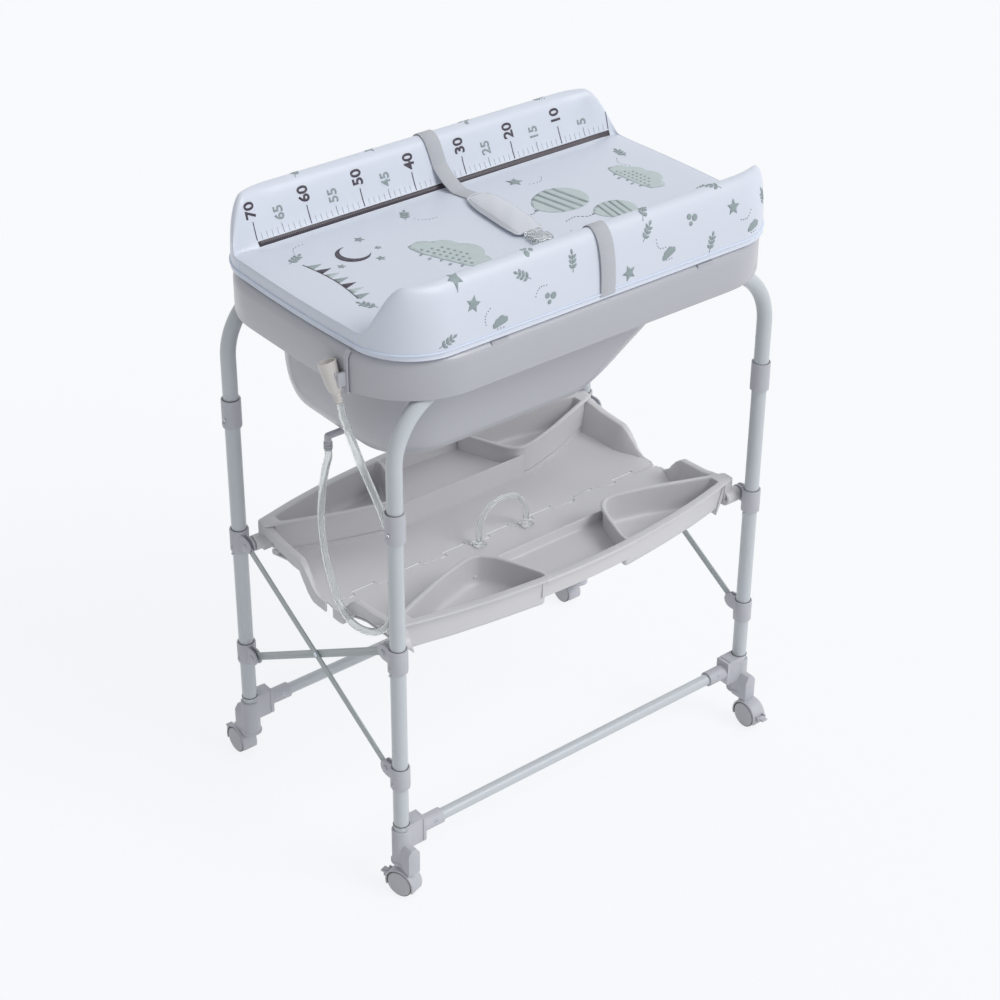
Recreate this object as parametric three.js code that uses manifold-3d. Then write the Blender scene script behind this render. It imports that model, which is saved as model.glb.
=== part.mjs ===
// Folding changing table with a bathtub, a hinged storage tray and a padded changing mat.
// Millimetres, +Z up, -Y is the front, the origin lies on the floor in the middle of the four legs.
import * as THREE from 'three';
import { mergeVertices } from 'three/addons/utils/BufferGeometryUtils.js';
import Module from 'manifold-3d';

const wasm = await Module();
wasm.setup();

// Driving sizes of the stand
const legX = 370;
const legY = 215;
const tubeRadius = 12.5;
const tubeWall = 1.2;
const runningGap = 0.3;
const legJointZ = 684;
const bendRise = 101;
const bendStartZ = legJointZ + bendRise;
const bendRadius = 110;
const pivotLowZ = 230;
const pivotHighZ = 452;
const pivotInset = 28;
const railZ = 110;
const cutOverrun = 2;

// Distances that tie what the stand carries to the stand
const fit = {
  rimRise: 57.7,
  rimBeyondLeg: 20,
  rimBeyondTube: 32,
  bodyInsideRim: 40,
  bodyInsideTube: 12,
  tubDepth: 222.7,
  skirtDepth: 66.7,
  matInsideEnds: 14,
  matInsideSides: 6,
  matWallBreadth: 79,
  trayEnd: 21,
  bossEnd: 7,
  pinEnd: 23,
  trayBulge: 23,
  trayEndOuter: 5,
  trayEndInner: 14,
  trayInner: 79,
  trayFloorDrop: 25,
  trayRimRise: 37,
};

const rimTopZ = bendStartZ + bendRadius + fit.rimRise;
const matBaseZ = rimTopZ + runningGap;
const pivotY = legY - pivotInset;

const roundSides = 16;
const tubeSides = 12;

const paint = {
  frame: new THREE.MeshStandardMaterial({ color: 0xc3cbcb, roughness: 0.45, metalness: 0.1 }),
  fitting: new THREE.MeshStandardMaterial({ color: 0xc6c6cc, roughness: 0.5, metalness: 0 }),
  brace: new THREE.MeshStandardMaterial({ color: 0xb4bbbc, roughness: 0.45, metalness: 0.2 }),
  steel: new THREE.MeshStandardMaterial({ color: 0xb9c3cc, roughness: 0.35, metalness: 0.9 }),
  tray: new THREE.MeshStandardMaterial({ color: 0xd3d0cd, roughness: 0.55, metalness: 0 }),
  tub: new THREE.MeshStandardMaterial({ color: 0xc9c9cd, roughness: 0.35, metalness: 0 }),
  clear: new THREE.MeshStandardMaterial({ color: 0xe6eaec, roughness: 0.15, metalness: 0 }),
  mat: new THREE.MeshStandardMaterial({ color: 0xdfe6f0, roughness: 0.4, metalness: 0 }),
  webbing: new THREE.MeshStandardMaterial({ color: 0xbfc0c2, roughness: 0.85, metalness: 0 }),
  wheel: new THREE.MeshStandardMaterial({ color: 0xaeb0b4, roughness: 0.5, metalness: 0 }),
};

// A path whose stations are exactly the listed points, so that bends get the rings and straights none.
class StationPath extends THREE.Curve {
  constructor(stations) {
    super();
    this.stations = stations;
  }

  getPoint(share, target = new THREE.Vector3()) {
    const last = this.stations.length - 1;
    const place = Math.min(Math.max(share, 0), 1) * last;
    const index = Math.min(Math.floor(place), last - 1);
    return target.lerpVectors(this.stations[index], this.stations[index + 1], place - index);
  }

  getUtoTmapping(share) {
    return share;
  }
}

function signedVolume(position, index) {
  const a = new THREE.Vector3();
  const b = new THREE.Vector3();
  const c = new THREE.Vector3();
  let volume = 0;
  for (let i = 0; i < index.length; i += 3) {
    a.fromBufferAttribute(position, index[i]);
    b.fromBufferAttribute(position, index[i + 1]);
    c.fromBufferAttribute(position, index[i + 2]);
    volume += a.dot(b.cross(c));
  }
  return volume;
}

// A closed geometry as a solid, its faces turned outward.
function solid(geometry) {
  const bare = geometry.index ? geometry : geometry.clone();
  bare.deleteAttribute('normal');
  bare.deleteAttribute('uv');
  const merged = mergeVertices(bare, 1e-4);
  const index = [];
  const source = merged.index.array;
  for (let i = 0; i < source.length; i += 3) {
    const [a, b, c] = [source[i], source[i + 1], source[i + 2]];
    if (a !== b && b !== c && c !== a) index.push(a, b, c);
  }
  if (signedVolume(merged.attributes.position, index) < 0) index.reverse();
  const vertProperties = new Float32Array(merged.attributes.position.array);
  const triVerts = new Uint32Array(index);
  return new wasm.Manifold(new wasm.Mesh({ numProp: 3, vertProperties, triVerts }));
}

function joined(...solids) {
  return solids.reduce((sum, next) => sum.add(next));
}

function geometryOf(body) {
  const mesh = body.getMesh();
  const geometry = new THREE.BufferGeometry();
  geometry.setAttribute('position', new THREE.BufferAttribute(new Float32Array(mesh.vertProperties), 3));
  geometry.setIndex(new THREE.BufferAttribute(new Uint32Array(mesh.triVerts), 1));
  geometry.computeVertexNormals();
  return geometry;
}

function piece(name, body, material) {
  const mesh = new THREE.Mesh(geometryOf(body), material);
  mesh.name = name;
  return mesh;
}

function box(x0, x1, y0, y1, z0, z1) {
  const geometry = new THREE.BoxGeometry(Math.abs(x1 - x0), Math.abs(y1 - y0), Math.abs(z1 - z0));
  geometry.translate((x0 + x1) / 2, (y0 + y1) / 2, (z0 + z1) / 2);
  return solid(geometry);
}

function rod(radius, from, to, sides = roundSides, endRadius = radius) {
  const direction = new THREE.Vector3().subVectors(to, from);
  const geometry = new THREE.CylinderGeometry(endRadius, radius, direction.length(), sides);
  const turn = new THREE.Quaternion().setFromUnitVectors(new THREE.Vector3(0, 1, 0), direction.clone().normalize());
  geometry.applyQuaternion(turn);
  geometry.translate((from.x + to.x) / 2, (from.y + to.y) / 2, (from.z + to.z) / 2);
  return solid(geometry);
}

const at = (x, y, z) => new THREE.Vector3(x, y, z);

// Extrusions of an outline drawn in (y, z), (x, z) or (x, y).
function alongX(shape, x0, x1, curveSegments = 6) {
  const depth = Math.abs(x1 - x0);
  const geometry = new THREE.ExtrudeGeometry(shape, { depth, bevelEnabled: false, curveSegments });
  geometry.applyMatrix4(new THREE.Matrix4().makeBasis(at(0, 1, 0), at(0, 0, 1), at(1, 0, 0)));
  geometry.translate(Math.min(x0, x1), 0, 0);
  return solid(geometry);
}

function alongY(shape, y0, y1, curveSegments = 6) {
  const depth = Math.abs(y1 - y0);
  const geometry = new THREE.ExtrudeGeometry(shape, { depth, bevelEnabled: false, curveSegments });
  geometry.applyMatrix4(new THREE.Matrix4().makeBasis(at(1, 0, 0), at(0, 0, 1), at(0, -1, 0)));
  geometry.translate(0, Math.max(y0, y1), 0);
  return solid(geometry);
}

function alongZ(shape, z0, z1, curveSegments = 6) {
  const geometry = new THREE.ExtrudeGeometry(shape, { depth: z1 - z0, bevelEnabled: false, curveSegments });
  geometry.translate(0, 0, z0);
  return solid(geometry);
}

function polygon(points) {
  return new THREE.Shape(points.map(([u, v]) => new THREE.Vector2(u, v)));
}

function washerShape(u, v, outerRadius, innerRadius) {
  const shape = new THREE.Shape();
  shape.absarc(u, v, outerRadius, 0, Math.PI * 2, false);
  if (innerRadius > 0) {
    const hole = new THREE.Path();
    hole.absarc(u, v, innerRadius, 0, Math.PI * 2, true);
    shape.holes.push(hole);
  }
  return shape;
}

// A round tube along a list of stations, hollow where a bore is given.
function tube(stations, radius, bore, sides = tubeSides) {
  const options = {
    steps: stations.length - 1,
    extrudePath: new StationPath(stations),
    curveSegments: sides / 2,
    bevelEnabled: false,
  };
  return solid(new THREE.ExtrudeGeometry(washerShape(0, 0, radius, bore), options));
}

function revolved(profile, x, y, sides = roundSides) {
  const geometry = new THREE.LatheGeometry(profile.map(([r, z]) => new THREE.Vector2(r, z)), sides);
  geometry.rotateX(Math.PI / 2);
  geometry.translate(x, y, 0);
  return solid(geometry);
}

// A closed skin through rings of equal count, fanned shut at both ends or joined round to its start.
function loft(rings, joinRound = false) {
  const count = rings[0].length;
  const positions = rings.flat().flatMap((p) => [p.x, p.y, p.z]);
  const index = [];
  const spans = joinRound ? rings.length : rings.length - 1;
  for (let r = 0; r < spans; r += 1) {
    const next = ((r + 1) % rings.length) * count;
    for (let i = 0; i < count; i += 1) {
      const j = (i + 1) % count;
      index.push(r * count + i, r * count + j, next + j);
      index.push(r * count + i, next + j, next + i);
    }
  }
  if (!joinRound) {
    for (const [ring, reversed] of [[0, true], [rings.length - 1, false]]) {
      const centre = rings[ring].reduce((sum, p) => sum.add(p), at(0, 0, 0)).divideScalar(count);
      const hub = positions.length / 3;
      positions.push(centre.x, centre.y, centre.z);
      for (let i = 0; i < count; i += 1) {
        const pair = [ring * count + i, ring * count + ((i + 1) % count)];
        if (reversed) pair.reverse();
        index.push(pair[0], pair[1], hub);
      }
    }
  }
  const geometry = new THREE.BufferGeometry();
  geometry.setAttribute('position', new THREE.BufferAttribute(new Float32Array(positions), 3));
  geometry.setIndex(index);
  return solid(geometry);
}

const mixed = (a, b, share) => a + (b - a) * share;
const eased = (share) => share * share * (3 - 2 * share);
const clamped = (value) => Math.min(Math.max(value, 0), 1);

// Sleeves and brackets of the stand
const collar = {
  radius: 16,
  edge: 1,
  jointLow: 663,
  jointHeight: 49,
  lowerHeight: 38,
  upperHeight: 41,
  belowPivot: 22,
  rivetRadius: 3,
  rivetProud: 1.5,
};

const ear = {
  radius: 13.5,
  plate: 3,
  slot: 6,
  offset: 2,
  pinRadius: 3,
  headRadius: 5,
  headHeight: 1.8,
  seat: 13.3,
};

const brace = {
  width: 13,
  thickness: 2.3,
  holeGap: 0.3,
  rivetRadius: 2.5,
  rivetHead: 4.5,
  rivetHeadHeight: 0.7,
};

const foot = {
  bottomZ: 58,
  topZ: 123,
  floor: 4.3,
  lipRadius: 18,
  lipHeight: 3,
  blockWidth: 26,
  blockHeight: 46,
  blockLength: 33,
  socketOffset: 21,
  socketWidth: 22,
  socketDepth: 24,
  socketBottomZ: 50,
  socketShoulderZ: 90,
  socketTopZ: 99,
  roofWidth: 10,
  stemBore: 5.4,
  stemTopZ: 85,
};

const rail = {
  radius: 10,
  sleeveRadius: 13.5,
  sleeveLength: 44,
  flangeLength: 6,
  flangeWidth: 28,
  flangeHeight: 44,
};

const stopPin = { radius: 2.2, proud: 4, below: 3 };

const tubeBore = tubeRadius - tubeWall;
const collarBore = tubeRadius + runningGap;
const earCentreX = legX + ear.offset;
const railBlockX = legX - foot.blockLength;
const sleeveEndX = railBlockX - runningGap;

function collarRing(x, y, z0, z1) {
  const profile = [[collarBore, z0], [collar.radius, z0], [collar.radius, z1], [collarBore, z1], [collarBore, z0]];
  return revolved(profile, x, y, tubeSides);
}

function rivetButton(sx, y, z) {
  const reach = collar.radius + collar.rivetProud;
  return rod(collar.rivetRadius, at(sx * (legX + collarBore), y, z), at(sx * (legX + reach), y, z), 6);
}

function makeUpperFrame(name, sy) {
  const stations = [at(-legX, sy * legY, legJointZ + runningGap)];
  const bendSteps = 5;
  for (const side of [-1, 1]) {
    for (let i = 0; i <= bendSteps; i += 1) {
      const turn = ((side < 0 ? i : bendSteps - i) / bendSteps) * (Math.PI / 2);
      const x = side * (legX - bendRadius * (1 - Math.cos(turn)));
      stations.push(at(x, sy * legY, bendStartZ + bendRadius * Math.sin(turn)));
    }
  }
  stations.push(at(legX, sy * legY, legJointZ + runningGap));
  return piece(name, tube(stations, tubeRadius, tubeBore), paint.frame);
}

function makeLeg(name, sx, sy) {
  const bottom = foot.bottomZ + foot.floor + runningGap;
  const stations = [at(sx * legX, sy * legY, bottom), at(sx * legX, sy * legY, legJointZ)];
  const pinZ = pivotHighZ - collar.belowPivot - stopPin.below;
  const reach = tubeRadius + stopPin.proud;
  const ends = [at(sx * legX - reach, sy * legY, pinZ), at(sx * legX + reach, sy * legY, pinZ)];
  return piece(name, joined(tube(stations, tubeRadius, tubeBore), rod(stopPin.radius, ...ends, 8)), paint.frame);
}

function makeJointCollar(name, sx, sy) {
  const ring = collarRing(sx * legX, sy * legY, collar.jointLow, collar.jointLow + collar.jointHeight);
  const button = rivetButton(sx, sy * legY, collar.jointLow + collar.rivetRadius * 3);
  return piece(name, joined(ring, button), paint.fitting);
}

function earPlate(sx, sy, pivotZ, x0, x1) {
  const shape = new THREE.Shape();
  const centre = sy * pivotY;
  const root = sy * (legY - ear.seat);
  const sweep = sy < 0 ? [-Math.PI / 2, Math.PI / 2, false] : [-Math.PI / 2, Math.PI / 2, true];
  shape.moveTo(root, pivotZ - ear.radius);
  shape.lineTo(centre, pivotZ - ear.radius);
  shape.absarc(centre, pivotZ, ear.radius, ...sweep);
  shape.lineTo(root, pivotZ + ear.radius);
  shape.closePath();
  return alongX(shape, sx * x0, sx * x1, 3);
}

function makeBracket(name, sx, sy, pivotZ, height, pinEndX) {
  const low = pivotZ - collar.belowPivot;
  const inner = earCentreX - ear.slot / 2;
  const outer = earCentreX + ear.slot / 2;
  const y = sy * pivotY;
  const headX = outer + ear.plate;
  const body = joined(
    collarRing(sx * legX, sy * legY, low, low + height),
    earPlate(sx, sy, pivotZ, inner - ear.plate, inner),
    earPlate(sx, sy, pivotZ, outer, outer + ear.plate),
    rod(ear.pinRadius, at(sx * pinEndX, y, pivotZ), at(sx * headX, y, pivotZ), 8),
    rod(ear.headRadius, at(sx * headX, y, pivotZ), at(sx * (headX + ear.headHeight), y, pivotZ), 8),
    rivetButton(sx, sy * legY, low + collar.rivetRadius * 3),
  );
  return piece(name, body, paint.fitting);
}

function makeBrace(name, sx, lowSide, layer) {
  const low = new THREE.Vector2(lowSide * pivotY, pivotLowZ);
  const high = new THREE.Vector2(-lowSide * pivotY, pivotHighZ);
  const angle = Math.atan2(high.y - low.y, high.x - low.x);
  const half = brace.width / 2;
  const shape = new THREE.Shape();
  shape.absarc(low.x, low.y, half, angle + Math.PI / 2, angle + Math.PI * 1.5, false);
  shape.absarc(high.x, high.y, half, angle - Math.PI / 2, angle + Math.PI / 2, false);
  shape.closePath();
  const middle = low.clone().add(high).divideScalar(2);
  const holes = [
    [low, ear.pinRadius + brace.holeGap],
    [high, ear.pinRadius + brace.holeGap],
    [middle, brace.rivetRadius + brace.holeGap],
  ];
  for (const [centre, radius] of holes) {
    const hole = new THREE.Path();
    hole.absarc(centre.x, centre.y, radius, 0, Math.PI * 2, true);
    shape.holes.push(hole);
  }
  const face = earCentreX + layer * (ear.slot / 2 - runningGap);
  return piece(name, alongX(shape, sx * face, sx * (face - layer * brace.thickness), 5), paint.brace);
}

function makeBraceRivet(name, sx) {
  const z = (pivotLowZ + pivotHighZ) / 2;
  const spread = ear.slot / 2 - runningGap;
  const x0 = earCentreX - spread - runningGap;
  const x1 = earCentreX + spread + runningGap;
  const body = joined(
    rod(brace.rivetRadius, at(sx * x0, 0, z), at(sx * x1, 0, z), 10),
    rod(brace.rivetHead, at(sx * x0, 0, z), at(sx * (x0 - brace.rivetHeadHeight), 0, z), 10),
    rod(brace.rivetHead, at(sx * x1, 0, z), at(sx * (x1 + brace.rivetHeadHeight), 0, z), 10),
  );
  return piece(name, body, paint.steel);
}

function makeFoot(name, sx, sy) {
  const { bottomZ, topZ, floor, lipRadius, lipHeight } = foot;
  const x = sx * legX;
  const y = sy * legY;
  const { radius, edge } = collar;
  const cup = revolved([
    [0, bottomZ], [lipRadius, bottomZ], [lipRadius, bottomZ + lipHeight], [radius, bottomZ + lipHeight + edge],
    [radius, topZ - edge], [radius - edge, topZ], [0, topZ],
  ], x, y);
  const blockLow = railZ - foot.blockHeight / 2;
  const block = box(
    sx * railBlockX, x, y - foot.blockWidth / 2, y + foot.blockWidth / 2, blockLow, blockLow + foot.blockHeight,
  );
  const half = foot.socketWidth / 2;
  const roof = foot.roofWidth / 2;
  const socketShape = polygon([
    [x - half, foot.socketBottomZ], [x + half, foot.socketBottomZ], [x + half, foot.socketShoulderZ],
    [x + roof, foot.socketTopZ], [x - roof, foot.socketTopZ], [x - half, foot.socketShoulderZ],
  ]);
  const socketY = legY + foot.socketOffset;
  const socket = alongY(socketShape, y, sy * (socketY + foot.socketDepth / 2));
  const legBore = rod(collarBore, at(x, y, bottomZ + floor), at(x, y, topZ + blockLow));
  const stemBore = rod(
    foot.stemBore, at(x, sy * socketY, foot.socketBottomZ - cutOverrun), at(x, sy * socketY, foot.stemTopZ + runningGap), 10,
  );
  return piece(name, joined(cup, block, socket).subtract(legBore).subtract(stemBore), paint.fitting);
}

function makeRail(name, sy) {
  const end = sleeveEndX - rail.flangeLength;
  const y = sy * legY;
  return piece(name, tube([at(-end, y, railZ), at(end, y, railZ)], rail.radius, rail.radius - tubeWall), paint.frame);
}

function makeRailSleeve(name, sx, sy) {
  const y = sy * legY;
  const bore = rail.radius + runningGap;
  const inner = sleeveEndX - rail.sleeveLength;
  const flangeX = sleeveEndX - rail.flangeLength;
  const sleeve = rod(rail.sleeveRadius, at(sx * inner, y, railZ), at(sx * sleeveEndX, y, railZ), 12);
  const halfWidth = rail.flangeWidth / 2;
  const halfHeight = rail.flangeHeight / 2;
  const flange = box(
    sx * flangeX, sx * sleeveEndX, y - halfWidth, y + halfWidth, railZ - halfHeight, railZ + halfHeight,
  );
  const hole = rod(bore, at(sx * (inner - cutOverrun), y, railZ), at(sx * (flangeX + runningGap), y, railZ), 12);
  return piece(name, joined(sleeve, flange).subtract(hole), paint.fitting);
}

// Twin-wheel casters, one under each foot
const caster = {
  wheelRadius: 23.5,
  wheelInner: 3,
  wheelOuter: 13.6,
  wheelEdge: 2,
  trail: 13,
  web: 2.5,
  hoodHalfWidth: 14,
  hoodRadius: 27.3,
  hoodCutZ: 14,
  cavityRadius: 24.3,
  axleRadius: 3,
  neckRadius: 9,
  stemRadius: 5,
  cheekInner: 6.4,
  cheekOuter: 9,
  cheekReach: 33,
  cheekHeight: 9,
  leverHalfWidth: 6,
  leverReach: 41,
  leverRadius: 3,
  leverBlade: 3,
};

function makeCaster(name, sx, sy, heading) {
  const group = new THREE.Group();
  group.position.set(sx * legX, sy * (legY + foot.socketOffset), 0);
  group.rotation.z = heading;
  const hubY = caster.trail;
  const hubZ = caster.wheelRadius;

  const neckTop = foot.socketBottomZ - runningGap;
  const cheekZ = hubZ + caster.cheekHeight / 2;
  const hoodBlock = rod(
    caster.hoodRadius, at(-caster.hoodHalfWidth, hubY, hubZ), at(caster.hoodHalfWidth, hubY, hubZ), 16,
  );
  let hood = joined(
    hoodBlock,
    rod(caster.neckRadius, at(0, 0, hubZ), at(0, 0, neckTop), 12),
    box(
      -caster.cheekOuter, caster.cheekOuter, hubY, hubY + caster.cheekReach,
      cheekZ - caster.cheekHeight / 2, cheekZ + caster.cheekHeight / 2,
    ),
  );
  for (const side of [-1, 1]) {
    const from = at(side * caster.web, hubY, hubZ);
    const to = at(side * (caster.hoodHalfWidth + cutOverrun), hubY, hubZ);
    hood = hood.subtract(rod(caster.cavityRadius, from, to, 16));
  }
  const reach = caster.hoodRadius * 2;
  hood = hood.subtract(box(-reach, reach, -reach, reach * 2, -reach, caster.hoodCutZ));
  const crown = box(-reach, reach, -reach, reach * 2, neckTop, neckTop + reach);
  const stem = rod(caster.stemRadius, at(0, 0, neckTop - caster.web), at(0, 0, foot.stemTopZ), 12);
  hood = hood.subtract(crown).add(stem);
  hood = hood.subtract(rod(caster.axleRadius + runningGap, at(-reach, hubY, hubZ), at(reach, hubY, hubZ), 10));
  const slotY = hubY + caster.hoodRadius;
  hood = hood.subtract(box(
    -caster.cheekInner, caster.cheekInner, slotY, slotY + reach, -reach, reach,
  ));
  group.add(piece(`${name}_hood`, hood, paint.fitting));

  let wheels = rod(caster.axleRadius, at(-caster.wheelInner, hubY, hubZ), at(caster.wheelInner, hubY, hubZ), 10);
  for (const side of [-1, 1]) {
    const inner = at(side * caster.wheelInner, hubY, hubZ);
    const shoulder = at(side * (caster.wheelOuter - caster.wheelEdge), hubY, hubZ);
    const face = at(side * caster.wheelOuter, hubY, hubZ);
    wheels = joined(
      wheels,
      rod(caster.wheelRadius, inner, shoulder, 16),
      rod(caster.wheelRadius, shoulder, face, 16, caster.wheelRadius - caster.wheelEdge),
    );
  }
  group.add(piece(`${name}_wheels`, wheels, paint.wheel));

  const leverZ = cheekZ;
  const leverY = slotY + caster.leverRadius + runningGap;
  const lever = joined(
    rod(caster.leverRadius, at(-caster.leverHalfWidth, leverY, leverZ), at(caster.leverHalfWidth, leverY, leverZ), 10),
    box(
      -caster.leverHalfWidth, caster.leverHalfWidth, leverY, hubY + caster.leverReach,
      leverZ - caster.leverBlade / 2, leverZ + caster.leverBlade / 2,
    ),
  );
  group.add(piece(`${name}_brake_lever`, lever, paint.fitting));
  return group;
}

// Storage tray: two mirrored halves that meet at interlocking fingers
const tray = {
  halfLength: legX - fit.trayEnd,
  floorZ: pivotHighZ - fit.trayFloorDrop,
  wall: 3,
  rimZ: pivotHighZ + fit.trayRimRise,
  lip: 3,
  lipHeight: 5,
  seamGap: 2.3,
  fingerDepth: 3,
  fingerPitch: 46,
  fingerSideGap: 0.5,
  knuckleRadius: 5,
  innerWallY: pivotY - fit.trayInner,
  endInnerY: pivotY - fit.trayEndInner,
  middleY: legY + fit.trayBulge,
  endOuterY: pivotY + fit.trayEndOuter,
  cornerShare: 0.2407,
  cornerRoundShare: 0.4069,
  rimWidth: 11,
  endRimWidth: 17,
  cavityEnd: 29,
  pocketDraft: 4,
  pocketRise: 6,
  shelfRise: 25,
  shelfWallRise: 43,
  frontBandStart: 0.08,
  bandWall: 3.5,
  bandUnder: 3.7,
  bandLip: 3,
  bandLipSlope: 0.2,
  bandFootSlope: 0.22,
  bossRadius: 13,
  bossEndX: legX - fit.bossEnd,
  bossWall: 16,
  bossReach: legX - fit.pinEnd,
};

const cornerX = tray.halfLength * tray.cornerShare;
const cornerRoundX = tray.halfLength * tray.cornerRoundShare;
const pocketBottomZ = tray.floorZ + tray.pocketRise;
const shelfZ = tray.floorZ + tray.shelfRise;
const shelfWallZ = tray.floorZ + tray.shelfWallRise;

// Half breadth of the tray at its outer rim, an arc that bulges between the legs.
function trayEdgeY(x) {
  const share = x / tray.halfLength;
  return mixed(tray.middleY, tray.endOuterY, share * share);
}

// The slanted, rounded wall beside the shelf, as shares of the corner's length and of the tray's breadth there.
const pocketCornerShares = [[0, 0.8], [0.27, 0.45], [0.55, 0.14], [0.86, 0]];

// The wall towards the middle, as shares of its length and of its way out to the tray's end.
const pocketWallShares = [[0.08, 0], [0.4, 0.28], [1, 1]];

// Plan outline of a deep pocket on one side: the wall towards the middle, then the bulging outer arc.
function pocketOutline(sx, sy, { inset = 0, side = 0, end = 0 }) {
  const { innerWallY, endInnerY, halfLength } = tray;
  const arcShares = [0, 0.3, 0.6, 1];
  const inner = pocketCornerShares.map(([along, across]) => [
    mixed(cornerX, cornerRoundX, along) + inset,
    mixed(innerWallY, trayEdgeY(cornerX), across) + inset * (1 - across),
  ]);
  const endX = halfLength - end;
  for (const [along, across] of pocketWallShares) {
    const x = mixed(cornerRoundX, endX, along);
    const reach = across * (endX - cornerRoundX) / (halfLength - cornerRoundX);
    inner.push([x, mixed(innerWallY, endInnerY, reach) + inset]);
  }
  const outer = arcShares.map((share) => {
    const x = mixed(endX, cornerX + inset, share);
    return [x, trayEdgeY(x) - side];
  });
  return { inner: inner.map(([x, y]) => [sx * x, sy * y]), outer: outer.map(([x, y]) => [sx * x, sy * y]) };
}

function pocketPrism(sx, sy, lowPlan, highPlan, lowZ, highZ) {
  const [low, high] = [[lowPlan, lowZ], [highPlan, highZ]].map(([plan, z]) => {
    const { inner, outer } = pocketOutline(sx, sy, plan);
    return [...inner, ...outer].map(([x, y]) => at(x, y, z));
  });
  return loft([low, high]);
}

// Plans of a pocket's skin, hollow and rim at the floor and at the top.
const { rimWidth, endRimWidth, cavityEnd, pocketDraft, lip } = tray;
const skinLow = { inset: 0, side: rimWidth + pocketDraft, end: endRimWidth };
const skinHigh = { inset: 0, side: rimWidth, end: endRimWidth };
const hollowLow = { inset: tray.wall, side: rimWidth + tray.wall + pocketDraft, end: cavityEnd + pocketDraft };
const hollowHigh = { inset: tray.wall, side: rimWidth + tray.wall, end: cavityEnd };
const rimPlan = { inset: -lip, side: 0, end: 0 };

// End band of the tray from the seam to the pivot line: reach, top edge and lower edge of each station.
const endBandShares = [
  [0.03, 0, -0.29],
  [0.14, 0.01, -0.29],
  [0.21, 0.14, -0.28],
  [0.28, 0.4, -0.12],
  [0.34, 0.6, 0.12],
  [0.41, 0.73, 0.4],
  [0.68, 0.77, 0.5],
  [0.78, 0.83, 0.6],
  [1, 0.95, 0.75],
];

// How far in from the tray's end the end wall stands on the floor, for a wall of a given height.
function bandFoot(height) {
  return tray.bandLip * 2 + (tray.bandLipSlope + tray.bandFootSlope) * height;
}

// End wall that leans out from the floor to a rolled edge.
function endBand(sx, sy) {
  const { floorZ, halfLength, bandWall, bandUnder, bandLip, bandLipSlope } = tray;
  const rise = tray.rimZ - floorZ;
  const startShare = sy < 0 ? tray.frontBandStart : 0;
  return loft(endBandShares.map(([reach, high, low]) => {
    const height = rise * high;
    const topZ = floorZ + height;
    const lowZ = floorZ + rise * low;
    const foot = bandFoot(height);
    const lip = bandLip + bandLipSlope * height;
    const section = [
      [foot, floorZ], [lip, topZ], [0, topZ], [0, lowZ], [bandWall, lowZ], [bandWall, topZ - bandUnder],
      [foot, floorZ - bandUnder],
    ];
    const y = sy * Math.max(reach, startShare) * pivotY;
    return section.map(([inset, z]) => at(sx * (halfLength - inset), y, z));
  }));
}

// The floor's end edge under the end wall, from the seam outward.
function floorEndLine(fromY, toY) {
  const rise = tray.rimZ - tray.floorZ;
  const line = endBandShares
    .map(([reach, high]) => [tray.halfLength - bandFoot(rise * high) + tray.bandLip, reach * pivotY])
    .filter(([, y]) => y > fromY && y < toY);
  return [[tray.halfLength - tray.bandLip, fromY], ...line];
}

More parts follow.
